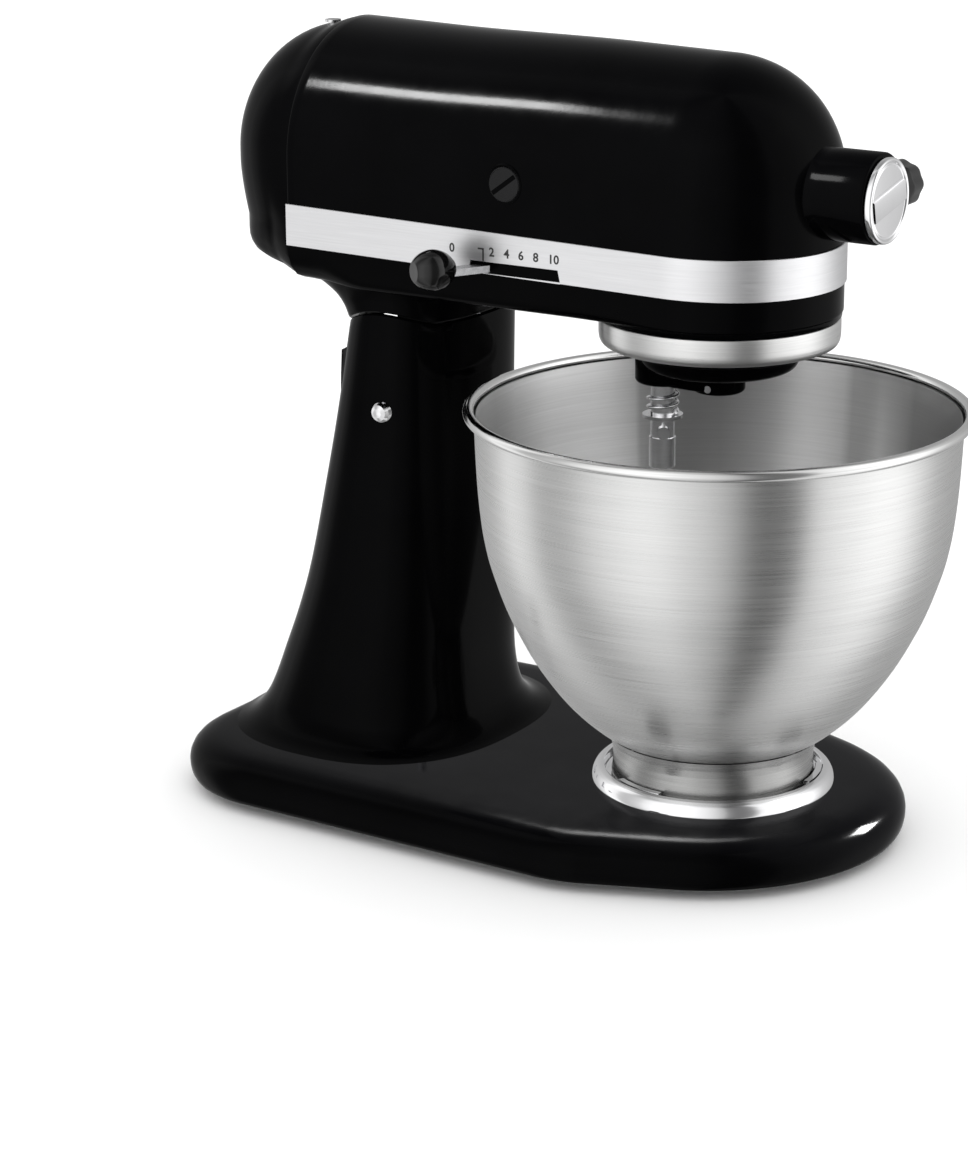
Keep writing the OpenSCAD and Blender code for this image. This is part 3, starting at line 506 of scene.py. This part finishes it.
EDGE_KEYS = [(0, 7.1), (0.15, 4.7), (0.8, 2.7), (2.0, 1.1), (3.8, 0.2), (6, 0.0)]
walls(b, half, [(0, 266)] + rounded(EDGE_KEYS, lambda x: 242.9, undercut))
skirt = [(46.8, 243), (46.8, 238), (47.4, 237), (49.9, 237), (50.55, 237.6), (50.6, 240.9), (51.9, 240.9),
         (52.2, 241.3), (52.2, 246)]
b.lathe(skirt, centre=(BOWL_X, 0), n=128)


def oval_point(t, x0, x1, w, p=0.8):
    c, s = math.cos(t), math.sin(t)
    return ((x0 + x1) / 2 + (x1 - x0) / 2 * math.copysign(abs(c) ** p, c), w * math.copysign(abs(s) ** p, s))


def neck_foot(x):
    """Lower end of the neck: flat over the shelf of the column, round about the pin behind it."""
    if x > -57:
        return SHELF_Z + 0.4
    return PIN_Z + math.sqrt(max((JOINT_R + 0.8) ** 2 - (x - PIN_X) ** 2, 0))


NECK = {"x0": [(215, -107), (224, -107.8), (230, -110.2), (236, -114.8), (241, -121.8), (246, -131)],
        "x1": [(215, -51), (230, -51), (238, -50.6), (243, -49), (246, -46)],
        "w": [(215, 46), (230, 46.2), (237, 47), (242, 49), (246, 52)]}
N_COL = 160


def oval_at(table, t, z):
    """The point at angle t of the oval that a table of x0, x1 and w gives for height z."""
    return oval_point(t, *(smooth_curve(table[key], z) for key in ("x0", "x1", "w")))


rows = []
for level in np.linspace(0, 1, 16):
    row = []
    for k in range(N_COL):
        t = 2 * math.pi * k / N_COL
        z = 228.0
        for _ in range(4):
            x, y = oval_at(NECK, t, z)
            z0 = neck_foot(x)
            z = z0 + (245.5 - z0) * level
        row.append((x, y, z))
    rows.append(row)
inner = [(x * 0.90 + PIN_X * 0.10, y * 0.90, z + 0.4) for x, y, z in rows[0]]
lip = [(x * 0.985 + PIN_X * 0.015, y * 0.985, z) for x, y, z in rows[0]]
rows[0] = [(x, y, z + 0.5) for x, y, z in rows[0]]
ceiling = [(x * 0.9 + PIN_X * 0.1, y * 0.9, 242) for x, y, z in rows[0]]
b.grid([ceiling, inner, lip] + rows, closed=True)
b.cap(ceiling)
# ears that turn on the hinge pin, and the lug that the lock catches
for s in (-1, 1):
    prof = []
    for a in range(95, 201, 5):
        prof.append((PIN_X + 26.5 * math.cos(math.radians(a)), PIN_Z + 26.5 * math.sin(math.radians(a))))
    for a in range(215, 361, 12):
        prof.append((PIN_X + 12.5 * math.cos(math.radians(a)), PIN_Z + 12.5 * math.sin(math.radians(a))))
    prof += [(-64, 200), (-64, 245), (-80, 245), (-80, 222)]
    lo, hi = (14, 28) if s > 0 else (-28, -14)
    b.grid([[(x, y, z) for x, z in prof] for y in (lo, hi)], closed=True)
    b.cap([(x, lo, z) for x, z in prof])
    b.cap([(x, hi, z) for x, z in prof])
b.block((-86, -30, 238), (-60, 30, 246))
b.block((-85.5, 27.9, 210.5), (-81.5, 32.4, 213.5))
b.block((-85.5, 27.9, 210.5), (-81.5, 31.4, 244))
make("gear_casting", b.v, b.f, M["enamel"], "head", ["gearcase"], angle=40)

# end cover
b = Builder()
tail = tail_outline()
dome(b, tail)


def cover_foot(x):
    """Height of the underside of the cover, which rises towards the back."""
    return 243.0 + (SEAM_X - x) * 14 / 48


TAPER = 3.2


def taper(z):
    """How far the walls of the cover draw in below the motor axis."""
    return TAPER * min(max((292 - z) / 24.0, 0), 1) ** 1.5


def cover_round(x):
    """The round under the cover grows from the back towards the seam."""
    t = min(max((x + 160) / 38, 0), 1)
    return 1 + 2.4 * t * t * (3 - 2 * t)


def from_seam(x):
    """0 at the seam, 1 from 12 mm behind it."""
    return min(max((SEAM_X - x) / 12, 0), 1)


levels = [(lambda x, z=z: taper(z) * from_seam(x), z) for z in (AXIS_Z, 292, 288, 284, 280, 276, 272, 268)]
levels += [(lambda x, d=d: d(x) + TAPER * from_seam(x), z)
           for d, z in rounded(EDGE_KEYS, lambda x: cover_foot(min(x, SEAM_X)), cover_round)]
walls(b, tail, levels)
make("end_casting", b.v, b.f, M["enamel"], "head", ["end_cover"], angle=40)


# bright band round the joint of the castings, open at the slot of the speed lever
SLOT_X, SLOT_Z = (-24, 21), (258.7, 263.6)


def band_low(x):
    """Lower edge of the band, which rises a little towards the back."""
    return 257.2 - (x - BOWL_X) * math.tan(math.radians(0.9))


def band_high(x):
    """Upper edge of the band."""
    return 275.0 - (x - BOWL_X) * math.tan(math.radians(1.1))


PROUD = 0.9
fine = []
for (xa, wa), (xb, wb) in zip(half, half[1:]):
    steps = 4 if xa < BOWL_X else 1
    fine += [(xa + (xb - xa) * k / steps, wa + (wb - wa) * k / steps) for k in range(steps)]
fine.append(half[-1])
p, n = loop(fine)
rows = []
for (x, y), (nx, ny) in zip(p, n):
    lo, hi = band_low(x), band_high(x)
    if SLOT_X[0] < x < SLOT_X[1] and y < 0:
        lo = SLOT_Z[1]
    rows.append([(x + nx * d, y + ny * d, z) for d, z in
                 ((0.05, lo), (0.7, lo), (PROUD, lo + 0.2), (PROUD, hi - 0.2), (0.7, hi), (0.05, hi))])
b = Builder()
b.grid(rows, closed=True)
b.cap(rows[0])
b.cap(rows[-1])
# thin lower lip left under the lever slot
lip_rows = []
for (x, y), (nx, ny) in zip(p, n):
    if SLOT_X[0] - 0.6 < x < SLOT_X[1] + 0.6 and y < 0:
        lo = band_low(x)
        lip_rows.append([(x + nx * d, y + ny * d, z) for d, z in
                         ((0.05, lo), (PROUD, lo), (PROUD, SLOT_Z[0]), (0.05, SLOT_Z[0]))])
b.grid(lip_rows, closed=True)
make("bright_band", b.v, b.f, M["band"], "head", ["trim_band"], angle=30)

# dark lining of the lever slot
b = Builder()
b.block((SLOT_X[0], -52.6, SLOT_Z[0]), (SLOT_X[1], -53.5, SLOT_Z[1]))
make("slot_lining", b.v, b.f, M["cap"], "head")

def wall_at(x):
    """Half width of the head at x."""
    return TAIL_R + (NOSE_R - TAIL_R) * (x - SEAM_X) / (BOWL_X - SEAM_X)


# numbers of the speed scale
MARK_Z, MARK_SIZE = 268.0, 5.4
for label, x in (("0", -32.2), ("2", -12.3), ("4", -4.9), ("6", 2.2), ("8", 9.5), ("10", 18.2)):
    cu = bpy.data.curves.new("mark", "FONT")
    cu.body, cu.size, cu.align_x, cu.align_y = label, MARK_SIZE * MM, "CENTER", "CENTER"
    cu.extrude, cu.resolution_u, cu.offset = 0.03 * MM, 3, 0.12 * MM
    tmp = bpy.data.objects.new("mark", cu)
    bpy.context.scene.collection.objects.link(tmp)
    bpy.context.view_layer.update()
    me = bpy.data.meshes.new_from_object(tmp.evaluated_get(bpy.context.evaluated_depsgraph_get()))
    bpy.data.objects.remove(tmp)
    me.transform(Matrix.Translation((x * MM, -(wall_at(x) + PROUD + 0.03) * MM, (MARK_Z + LIFT) * MM))
                 @ Matrix.Rotation(math.radians(1.0), 4, "Z") @ Matrix.Rotation(math.radians(90), 4, "X"))
    me.materials.clear()
    me.materials.append(M["ink"])
    o = bpy.data.objects.new("speed_mark_" + label, me)
    bpy.context.scene.collection.objects.link(o)
    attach(o, "head")

# small index tick over the start of the slot
b = Builder()
w = wall_at(-18.0)
b.block((-19.2, -(w + 0.97), 268.8), (-16.2, -(w + 0.85), 269.5))
b.block((-16.9, -(w + 0.97), 263.9), (-16.2, -(w + 0.85), 269.5))
make("speed_mark_tick", b.v, b.f, M["ink"], "head")

# ring under the head that catches drips
b = Builder()
ring = [(47.3, 236.8), (47.3, 230.6), (47.8, 229.4), (49.2, 228.5), (50.5, 228.8), (51.5, 230.2), (51.9, 232.4),
        (51.95, 236), (51.9, 239.6), (51.6, 240.4), (50.8, 240.5), (50.75, 237)]
b.lathe(bend(ring, 0.8), centre=(BOWL_X, 0), n=160)
make("drip_collar", b.v, b.f, M["ring"], "head", ["drip_ring"], angle=50)

# ---------- stand ----------
DISCS = [(BOWL_X - 6.4, 0, 91.7), (37, 44, 60), (-118.5, 41, 60), (-118.5, -41, 60), (37, -44, 60)]


def base_outline(n=240):
    """Points and outward normals round the discs of the base."""
    out, last = [], None
    for k in range(n + 1):
        a = 2 * math.pi * k / n
        nx, ny = math.cos(a), math.sin(a)
        best = max(DISCS, key=lambda d: d[0] * nx + d[1] * ny + d[2])
        p = (best[0] + best[2] * nx, best[1] + best[2] * ny)
        if last is not None and last[1] is not best:
            q = last[0]
            gap = math.hypot(p[0] - q[0], p[1] - q[1])
            m = max(int(gap / 5), 1)
            for j in range(1, m):
                out.append((q[0] + (p[0] - q[0]) * j / m, q[1] + (p[1] - q[1]) * j / m, nx, ny))
        out.append((*p, nx, ny))
        last = (p, best)
    return out[:-1]


outline = base_outline()
edge = [(7, 4.0), (3.6, 4.2), (1.6, 5.4), (0.6, 7.4), (0.1, 10), (0, 12.5), (0.4, 15), (1.7, 17.9), (3.8, 20.3),
        (6.6, 22.2), (10, 23.6), (14, 24.4), (20, 24.7), (30, 24.85), (42, 24.95)]
b = Builder()
rows = [[(x - nx * d, y - ny * d, z) for x, y, nx, ny in outline] for d, z in [(12, 12), (8.5, 4.6)] + edge]
b.grid(rows, closed=True)
b.cap(rows[-1])
b.cap(rows[0])
make("base_casting", b.v, b.f, M["enamel"], "stand", ["base"], angle=40)

COLUMN = {
    "x0": [(24.3, -170), (26, -166.5), (30, -162), (37, -157.5), (48, -152.8), (58, -149), (80, -140.4),
           (101, -133.6), (145, -124.2), (187, -115), (232, -106.2)],
    "x1": [(24.3, -34), (26, -40), (30, -44.6), (37, -48), (48, -50.2), (58, -51), (101, -51.2), (187, -51),
           (232, -51)],
    "w": [(24.3, 78), (26, 70.5), (30, 63.5), (37, 57.8), (48, 54.6), (58, 53.2), (80, 51.2), (101, 49.8), (145, 48),
          (187, 46.5), (232, 45.9)],
}


for key in COLUMN:
    COLUMN[key] = [(z + (LIFT if z > 110 else 0), value) for z, value in COLUMN[key]]


def column_top(x, y):
    """Round about the hinge pin, with a notch behind for the head and a shelf ahead."""
    if x < -94 and abs(y) < 36.2:
        return 199.0 + LIFT
    if x > -57:
        return SHELF_Z - 0.4 + LIFT
    return PIN_Z + LIFT + math.sqrt(max(JOINT_R ** 2 - (x - PIN_X) ** 2, 0))


rows = []
zs = list(np.concatenate([np.linspace(24.3, 40, 14), np.linspace(44, 184, 30)]))
for z in zs:
    row = []
    for k in range(N_COL):
        row.append((*oval_at(COLUMN, 2 * math.pi * k / N_COL, z), z))
    rows.append(row)
for level in np.linspace(0.12, 1, 9):
    row = []
    for k in range(N_COL):
        t = 2 * math.pi * k / N_COL
        z = 200.0
        for _ in range(4):
            x, y = oval_at(COLUMN, t, z)
            z = 184 + (column_top(x, y) - 184) * level
        row.append((x, y, z))
    rows.append(row)
top = rows[-1]
rows[-1] = [(x, y, z - 0.6) for x, y, z in top]


def inward(row, d, dz=0.0, z=None):
    """The row drawn in by d towards the middle of the column, moved by dz or set to height z."""
    out, cx = [], -80.0
    for x, y, zz in row:
        r = math.hypot(x - cx, y)
        k = (r - d) / r
        out.append((cx + (x - cx) * k, y * k, z if z is not None else zz + dz))
    return out


POCKET_WALL = 2.4
rows += [inward(top, 0.6), inward(top, 2.0), inward(top, POCKET_WALL, -0.8), inward(top, POCKET_WALL, z=150),
         inward(top, POCKET_WALL, z=60)]
b = Builder()
b.grid(rows, closed=True)
b.cap(rows[-1])
make("column_casting", b.v, b.f, M["enamel"], "stand", ["column"], angle=42)

# polished clamp ring
b = Builder()
clamp = [(0, 26.9), (47.4, 26.9), (48.1, 27.4), (48.2, 30.6), (48.6, 31.5), (49.6, 31.75), (51.2, 31.2), (52.6, 29.8),
         (53.5, 27.8), (53.75, 26), (53.6, 24.6), (50, 24.6)]
b.lathe(bend(clamp, 0.7), centre=(BOWL_X, 0), n=160)
for a in (0, 120, 240):
    b.lathe([(48.4, 30.2), (45.3, 30.2), (45.3, 31.4), (45.7, 31.8), (48.4, 31.8)], centre=(BOWL_X, 0), n=20,
            start=a, sweep=30)
make("clamp_collar", b.v, b.f, M["chrome"], "stand", ["clamp_plate"], angle=40)

# ---------- bowl ----------
R = BOWL_R
outer_keys = [(RIM_Z - 1.5, R - 4.5), (185, R - 5.0), (176, R - 5.4), (161, R - 6.2), (143, R - 8), (130, R - 10.4),
              (118, R - 14), (106, R - 18.4), (95, R - 23.6), (84, R - 29.6), (73.5, R - 36.6), (63.5, R - 44.6),
              (54.5, R - 54), (48.6, R - 62), (44.4, R - 72)]
keys = sorted((z, r) for z, r in outer_keys)
zs = np.concatenate([np.linspace(44.4, 60, 14)[:-1], np.linspace(60, RIM_Z - 1.5, 46)])
outer = [(float(smooth_curve(keys, z)), float(z)) for z in zs]
base_in = [(0, 41.6), (12, 41.7), (26, 42.4), (32, 43.2)]
profile = base_in + outer
pts = np.array(profile)
tan = np.gradient(pts, axis=0)
nrm = np.stack([tan[:, 1], -tan[:, 0]], -1)
nrm /= np.linalg.norm(nrm, axis=1)[:, None]
SHEET = 1.2
inner = pts - nrm * SHEET
inner[0][0] = 0
b = Builder()
b.lathe(list(map(tuple, pts)), centre=(BOWL_X, 0), n=192)
make("bowl_body", b.v, b.f, M["bowl"], "bowl", ["bowl"], angle=60, weld=1e-7)
b = Builder()
b.lathe(list(map(tuple, inner)), centre=(BOWL_X, 0), n=192)
make("bowl_inside", b.v, b.f, M["bowl_in"], "bowl", angle=60, weld=1e-7)
b = Builder()
BEAD_R = 2.45
bead = [(R - 2.5 + BEAD_R * math.cos(a), RIM_Z - 0.2 + BEAD_R * math.sin(a))
        for a in np.linspace(math.radians(-140), math.radians(190), 26)]
b.lathe(bead, centre=(BOWL_X, 0), n=192)
make("bowl_bead", b.v, b.f, M["bead"], "bowl", angle=60)
b = Builder()
foot = [(43.3, 44.2), (43.3, 28.4), (43.6, 27.6), (44.2, 27.4), (45.0, 27.8), (45.2, 28.8), (44.7, 31), (44.4, 36),
        (44.6, 40), (45.4, 43.4), (46.8, 46.2), (47.6, 47.6)]
b.lathe(bend(foot, 0.6), centre=(BOWL_X, 0), n=160)
for a in (2, 122, 242):
    b.lathe([(44.5, 28), (47.2, 28), (47.4, 28.3), (47.4, 29.3), (47.2, 29.6), (44.5, 29.6)], centre=(BOWL_X, 0),
            n=20, start=a, sweep=26)
make("bowl_base_ring", b.v, b.f, M["foot"], "bowl", ["bowl_foot"], angle=40)

# ---------- planetary and beater shaft ----------
b = Builder()
plan = [(0, 206.5), (10.4, 206.5), (11.5, 207.6), (11.8, 216.2), (13.0, 217.0), (30.2, 217.1), (32.9, 218.3),
        (34.3, 220.5), (35, 223.2), (36, 224.9), (43.2, 226.2), (43.6, 227), (43.6, 229.6), (0, 229.6)]
b.lathe(bend(plan, 1.2), centre=(BOWL_X, 0), n=160)
b.lathe(bend([(0, 210.7), (10.9, 210.7), (12.1, 212), (12.15, 226)], 0.9), centre=BEATER, n=96)
# arm from the centre out to the shaft boss, its lower edges rounded
arm = []
for along in np.linspace(1, 24, 12):
    foot_z = 208.3 + 2.4 * min(max((along - 10) / 14, 0), 1)
    arm.append([(BOWL_X + along * math.cos(ORBIT_DIR) - across * math.sin(ORBIT_DIR),
                 along * math.sin(ORBIT_DIR) + across * math.cos(ORBIT_DIR), z)
                for across, z in ((-10.5, 222), (-10.5, foot_z + 1.2), (-10.15, foot_z + 0.35), (-9.3, foot_z),
                                  (9.3, foot_z), (10.15, foot_z + 0.35), (10.5, foot_z + 1.2), (10.5, 222))])
b.grid(arm)
make("planetary_casting", b.v, b.f, M["enamel"], "planetary", ["planetary"], angle=40)

b = Builder()
wire, coil, turns = 0.62, 6.6, 2.2
rows = []
for k in range(int(turns * 40) + 1):
    a = 2 * math.pi * k / 40
    z = 197.6 + 8.2 * k / (turns * 40)
    ring_of_wire = [(coil + wire * math.cos(q), z + wire * math.sin(q)) for q in np.linspace(0, 2 * math.pi, 13)]
    rows.append([(BEATER[0] + r * math.cos(a), BEATER[1] + r * math.sin(a), h) for r, h in ring_of_wire])
b.grid(rows)
b.cap(rows[0][:-1])
b.cap(rows[-1][:-1])
make("shaft_coil", b.v, b.f, M["turned"], "beater_shaft", ["shaft_spring"], angle=60)

# ---------- controls ----------
b = Builder()
cap_face = [(0, 146.5), (14.9, 146.5), (15.3, 146.1), (15.8, 146.0), (16.3, 146.7), (17.0, 147.15), (17.7, 146.8),
            (18.05, 146), (18.1, 144.6), (17.8, 143.7), (14.9, 143.6), (14.9, 131), (0, 131)]
HUB_Z = AXIS_Z - 0.6
b.lathe(bend(cap_face, 0.35), n=128, axis="x", place=lambda p: (p[0], p[1], p[2] + HUB_Z))
# raised bar across the face, with a groove along each side
tilt = math.radians(12)
bar = []
for u, h in ((-5.6, 146.55), (-5.2, 146.1), (-4.9, 146.1), (-4.4, 147.2), (-3.8, 147.35), (3.8, 147.35), (4.4, 147.2),
             (4.9, 146.1), (5.2, 146.1), (5.6, 146.55)):
    half_len = math.sqrt(14.8 ** 2 - u * u)
    bar.append([(h, q * math.cos(tilt) - u * math.sin(tilt), HUB_Z + q * math.sin(tilt) + u * math.cos(tilt))
                for q in (-half_len, half_len)])
b.grid(bar)
make("hub_cover", b.v, b.f, M["chrome"], "hub_cap", ["hub_cap"], angle=30)


def lever_place(p):
    c, s = math.cos(LEVER_DIR), math.sin(LEVER_DIR)
    return (LEVER[0] + p[0] * c - p[1] * s, LEVER[1] + p[0] * s + p[1] * c, p[2])


b = Builder()
ball = [(0, 44.2), (3.4, 44.2), (4.2, 44.8), (6.4, 46.8), (8.1, 49.7), (8.9, 52.9), (8.8, 55.4), (7.8, 58.6),
        (6.3, 60.9), (5.0, 62.2), (4.2, 62.8), (0, 62.9)]
b.lathe(bend(ball, 1.6), n=64, axis="x", place=lambda p: lever_place((p[0], p[1], p[2] + LEVER[2] + 1.6)))
make("speed_ball", b.v, b.f, M["knob"], "speed_lever", ["speed_knob"], angle=50)

b = Builder()
prof = bend([(0, 0), (5, 0), (6.2, 3.2), (8.0, 4.2), (10.2, 7.2), (10.2, 15.2), (8.6, 18.4), (0, 18.9)], 0.7)
rows = []
for k in range(97):
    a = 2 * math.pi * k / 96
    # eight flutes round the grip
    row = []
    for r, h in prof:
        g = 1 - 0.07 * (0.5 - 0.5 * math.cos(8 * a)) * min(max((r - 6) / 3, 0), 1)
        row.append((134 + r * g * math.cos(a), 22 + h, AXIS_Z + r * g * math.sin(a)))
    rows.append(row)
b.grid(rows)
make("hub_grip", b.v, b.f, M["knob"], "hub_knob", ["hub_knob"], angle=50)

# slotted brush caps
for s in (-1, 1):
    b = Builder()
    slot_angle = math.radians(36)
    face_r, face_y, turn_steps = 6.9, 54.75, np.linspace(0, 2 * math.pi, 97)
    b.grid([[(BRUSH_X + r * math.cos(a), s * h, AXIS_Z + r * math.sin(a)) for a in turn_steps]
            for r, h in ((face_r, face_y), (7.2, 54.7), (7.5, 54.45), (7.7, 54.0), (7.7, 52.2))])
    # face with a straight slot: strips either side and a sunk floor
    u = np.array([math.cos(slot_angle), math.sin(slot_angle)])
    v = np.array([-u[1], u[0]])
    half_w, deep = 1.0, 1.6

    def at(a, c, h):
        q = a * u + c * v
        return (BRUSH_X + q[0], s * h, AXIS_Z + q[1])

    along = np.linspace(-1, 1, 13)
    for side in (-1, 1):
        strips = []
        for c in np.linspace(half_w, face_r, 14):
            reach = math.sqrt(max(face_r ** 2 - c * c, 0))
            strips.append([at(a * reach, side * c, face_y) for a in along])
        b.grid(strips)
        reach = math.sqrt(face_r ** 2 - half_w ** 2)
        b.grid([[at(a * reach, side * half_w, h) for a in along] for h in (face_y, face_y - deep)])
    b.grid([[at(a * reach, c, face_y - deep) for a in along] for c in (-half_w, half_w)])
    for end in (-1, 1):
        b.grid([[at(end * reach, c, h) for c in (-half_w, half_w)] for h in (face_y, face_y - deep)])
    name = "brush_cap_near" if s < 0 else "brush_cap_far"
    make(name, b.v, b.f, M["cap"], "head", ["brush_caps"], angle=30)

# ---------- camera, floor and light ----------
def placed(x, y, z, at):
    """The matrix with these axes at this point."""
    return Matrix((*((x[k], y[k], z[k], at[k]) for k in range(3)), (0, 0, 0, 1)))


CAM = {"at": (0.76134, -1.25436, 0.56243), "azimuth": 32.995, "pitch": 17.433, "roll": -0.328, "f_px": 3416.6}
a, e, r = (math.radians(CAM[k]) for k in ("azimuth", "pitch", "roll"))
back = np.array([math.sin(a) * math.cos(e), -math.cos(a) * math.cos(e), math.sin(e)])
right = np.array([math.cos(a), math.sin(a), 0])
up = np.cross(back, right)
right, up = right * math.cos(r) + up * math.sin(r), up * math.cos(r) - right * math.sin(r)
cam = bpy.data.cameras.new("camera")
cam.lens = CAM["f_px"] * 36 / 1175
cam.sensor_width = 36
cam.clip_start, cam.clip_end = 0.05, 50
cam_obj = bpy.data.objects.new("camera", cam)
cam_obj.matrix_world = placed(right, up, back, CAM["at"])
bpy.context.scene.collection.objects.link(cam_obj)
bpy.context.scene.camera = cam_obj

me = bpy.data.meshes.new("floor")
me.from_pydata([(-12, -12, 0), (12, -12, 0), (12, 12, 0), (-12, 12, 0)], [], [(0, 1, 2, 3)])
floor = bpy.data.objects.new("floor", me)
bpy.context.scene.collection.objects.link(floor)
fm, nt, bs = material("floor_pale")
bs.inputs["Base Color"].default_value = (0.9, 0.9, 0.9, 1)
bs.inputs["Roughness"].default_value = 0.9
bs.inputs["Specular IOR Level"].default_value = 0.1
me.materials.append(fm)
floor.visible_glossy = False

# Surroundings: white to the camera, bright and even for matt surfaces, and for reflections a ring of
# soft cards: (azimuth in degrees, brightness) near the horizon, fading below it
CARDS = [(-180, 1.22), (-164, 1.06), (-150, 0.62), (-140, 0.68), (-126, 1.02), (-108, 1.32), (-96, 1.42),
         (-80, 1.20), (-62, 0.88), (-50, 0.52), (-42, 0.24), (-36, 0.20), (-28, 0.24), (-19, 0.60), (-12, 1.12),
         (12, 1.50), (26, 1.64), (42, 1.34), (56, 0.90), (70, 0.62), (110, 0.45), (150, 0.55), (170, 0.82),
         (180, 1.22)]
world = bpy.data.worlds.new("studio")
bpy.context.scene.world = world
world.use_nodes = True
world.cycles.sampling_method = "NONE"
wt = world.node_tree
bg = wt.nodes["Background"]
tc = add(wt, "ShaderNodeTexCoord")
sep = add(wt, "ShaderNodeSeparateXYZ")
wt.links.new(tc.outputs["Generated"], sep.inputs["Vector"])
az = add(wt, "ShaderNodeMath", operation="ARCTAN2")
wt.links.new(sep.outputs["Y"], az.inputs[0])
wt.links.new(sep.outputs["X"], az.inputs[1])
turn = add(wt, "ShaderNodeMapRange")
turn.inputs["From Min"].default_value, turn.inputs["From Max"].default_value = -math.pi, math.pi
wt.links.new(az.outputs["Value"], turn.inputs["Value"])
ring = add(wt, "ShaderNodeFloatCurve")
curve = ring.mapping.curves[0]
TOP_CARD = 1.7
for k, (deg, level) in enumerate(CARDS):
    spot = ((deg + 180) / 360, level / TOP_CARD)
    if k < 2:
        curve.points[k].location = spot if k == 0 else (1.0, CARDS[-1][1] / TOP_CARD)
    if 0 < k < len(CARDS) - 1:
        curve.points.new(*spot)
ring.mapping.update()
wt.links.new(turn.outputs["Result"], ring.inputs["Value"])
# brightness by height: dim straight down, full at the cards, lower overhead
height = add(wt, "ShaderNodeValToRGB")
rise = add(wt, "ShaderNodeMapRange")
rise.inputs["From Min"].default_value, rise.inputs["From Max"].default_value = -1, 1
wt.links.new(sep.outputs["Z"], rise.inputs["Value"])
wt.links.new(rise.outputs["Result"], height.inputs["Fac"])
ramp = height.color_ramp
ramp.elements[0].position, ramp.elements[0].color = 0.0, (0.5, 0.5, 0.5, 1)
ramp.elements[1].position, ramp.elements[1].color = 1.0, (0.5, 0.5, 0.5, 1)
for z, level in ((-0.8, 0.7), (-0.4, 1.0), (0.1, 1.0), (0.6, 1.0)):
    el = ramp.elements.new((z + 1) / 2)
    el.color = (level, level, level, 1)
both = add(wt, "ShaderNodeMath", operation="MULTIPLY")
wt.links.new(ring.outputs["Value"], both.inputs[0])
wt.links.new(height.outputs["Color"], both.inputs[1])
level = add(wt, "ShaderNodeMath", operation="MULTIPLY")
level.inputs[1].default_value = TOP_CARD
wt.links.new(both.outputs["Value"], level.inputs[0])
rays = add(wt, "ShaderNodeLightPath")
matt = add(wt, "ShaderNodeMix", data_type="FLOAT")
matt.inputs[2].default_value = 1.4
wt.links.new(rays.outputs["Is Glossy Ray"], matt.inputs[0])
wt.links.new(level.outputs["Value"], matt.inputs[3])
seen = add(wt, "ShaderNodeMix", data_type="FLOAT")
seen.inputs[3].default_value = 1.0
wt.links.new(rays.outputs["Is Camera Ray"], seen.inputs[0])
wt.links.new(matt.outputs[0], seen.inputs[2])
wt.links.new(seen.outputs[0], bg.inputs["Strength"])
bg.inputs["Color"].default_value = (1, 1, 1, 1)

def only(name, *pieces):
    """A group of pieces for one card, as flags would arrange in a studio."""
    group = bpy.data.collections.new(name)
    for piece in pieces:
        group.objects.link(bpy.data.objects[piece])
    return group


# the steel shows the bright surroundings, not the black stand beside it
for piece in ("column_casting", "base_casting"):
    bpy.data.objects[piece].visible_glossy = False


def softbox(name, at, aim, size, radiance, size_y, lights, along=(1, 0, 0)):
    """A rectangular card facing aim that lights only some pieces, its size along one direction and size_y across."""
    li = bpy.data.lights.new(name, "AREA")
    li.shape = "RECTANGLE"
    li.size, li.size_y = size, size_y
    li.energy = radiance * math.pi * li.size * li.size_y
    li.spread = math.pi
    ob = bpy.data.objects.new(name, li)
    z = (Vector(at) - Vector(aim)).normalized()
    x = Vector(along)
    x = (x - z * x.dot(z)).normalized()
    y = z.cross(x)
    ob.matrix_world = placed(x, y, z, at)
    bpy.context.scene.collection.objects.link(ob)
    ob.light_linking.receiver_collection = lights
    ob.light_linking.blocker_collection = lights


HEAD_AT = (-0.02, -0.03, 0.33)
softbox("card_head", (-0.81, -0.69, 1.44), HEAD_AT, 0.22, 260, along=(0.29, -0.03, 0.06), size_y=0.16,
        lights=only("lit_head", "head_casting", "end_casting"))
softbox("card_hub", (-0.54, -0.91, 1.30), (0.13, -0.02, 0.3), 0.9, 45, size_y=0.34,
        lights=only("lit_hub", "hub_barrel"))
base_only = only("lit_base", "base_casting")
softbox("card_base", (-0.50, 0.82, 1.06), (0.07, -0.09, 0.02), 0.30, 260, size_y=0.20, lights=base_only)
softbox("card_base_right", (0.82, 1.06, 0.77), (0.15, -0.05, 0.02), 0.40, 300, along=(1, -0.6, 0), size_y=0.35,
        lights=base_only)

bpy.context.scene.view_settings.view_transform = "Standard"
bpy.context.scene.view_settings.look = "None"
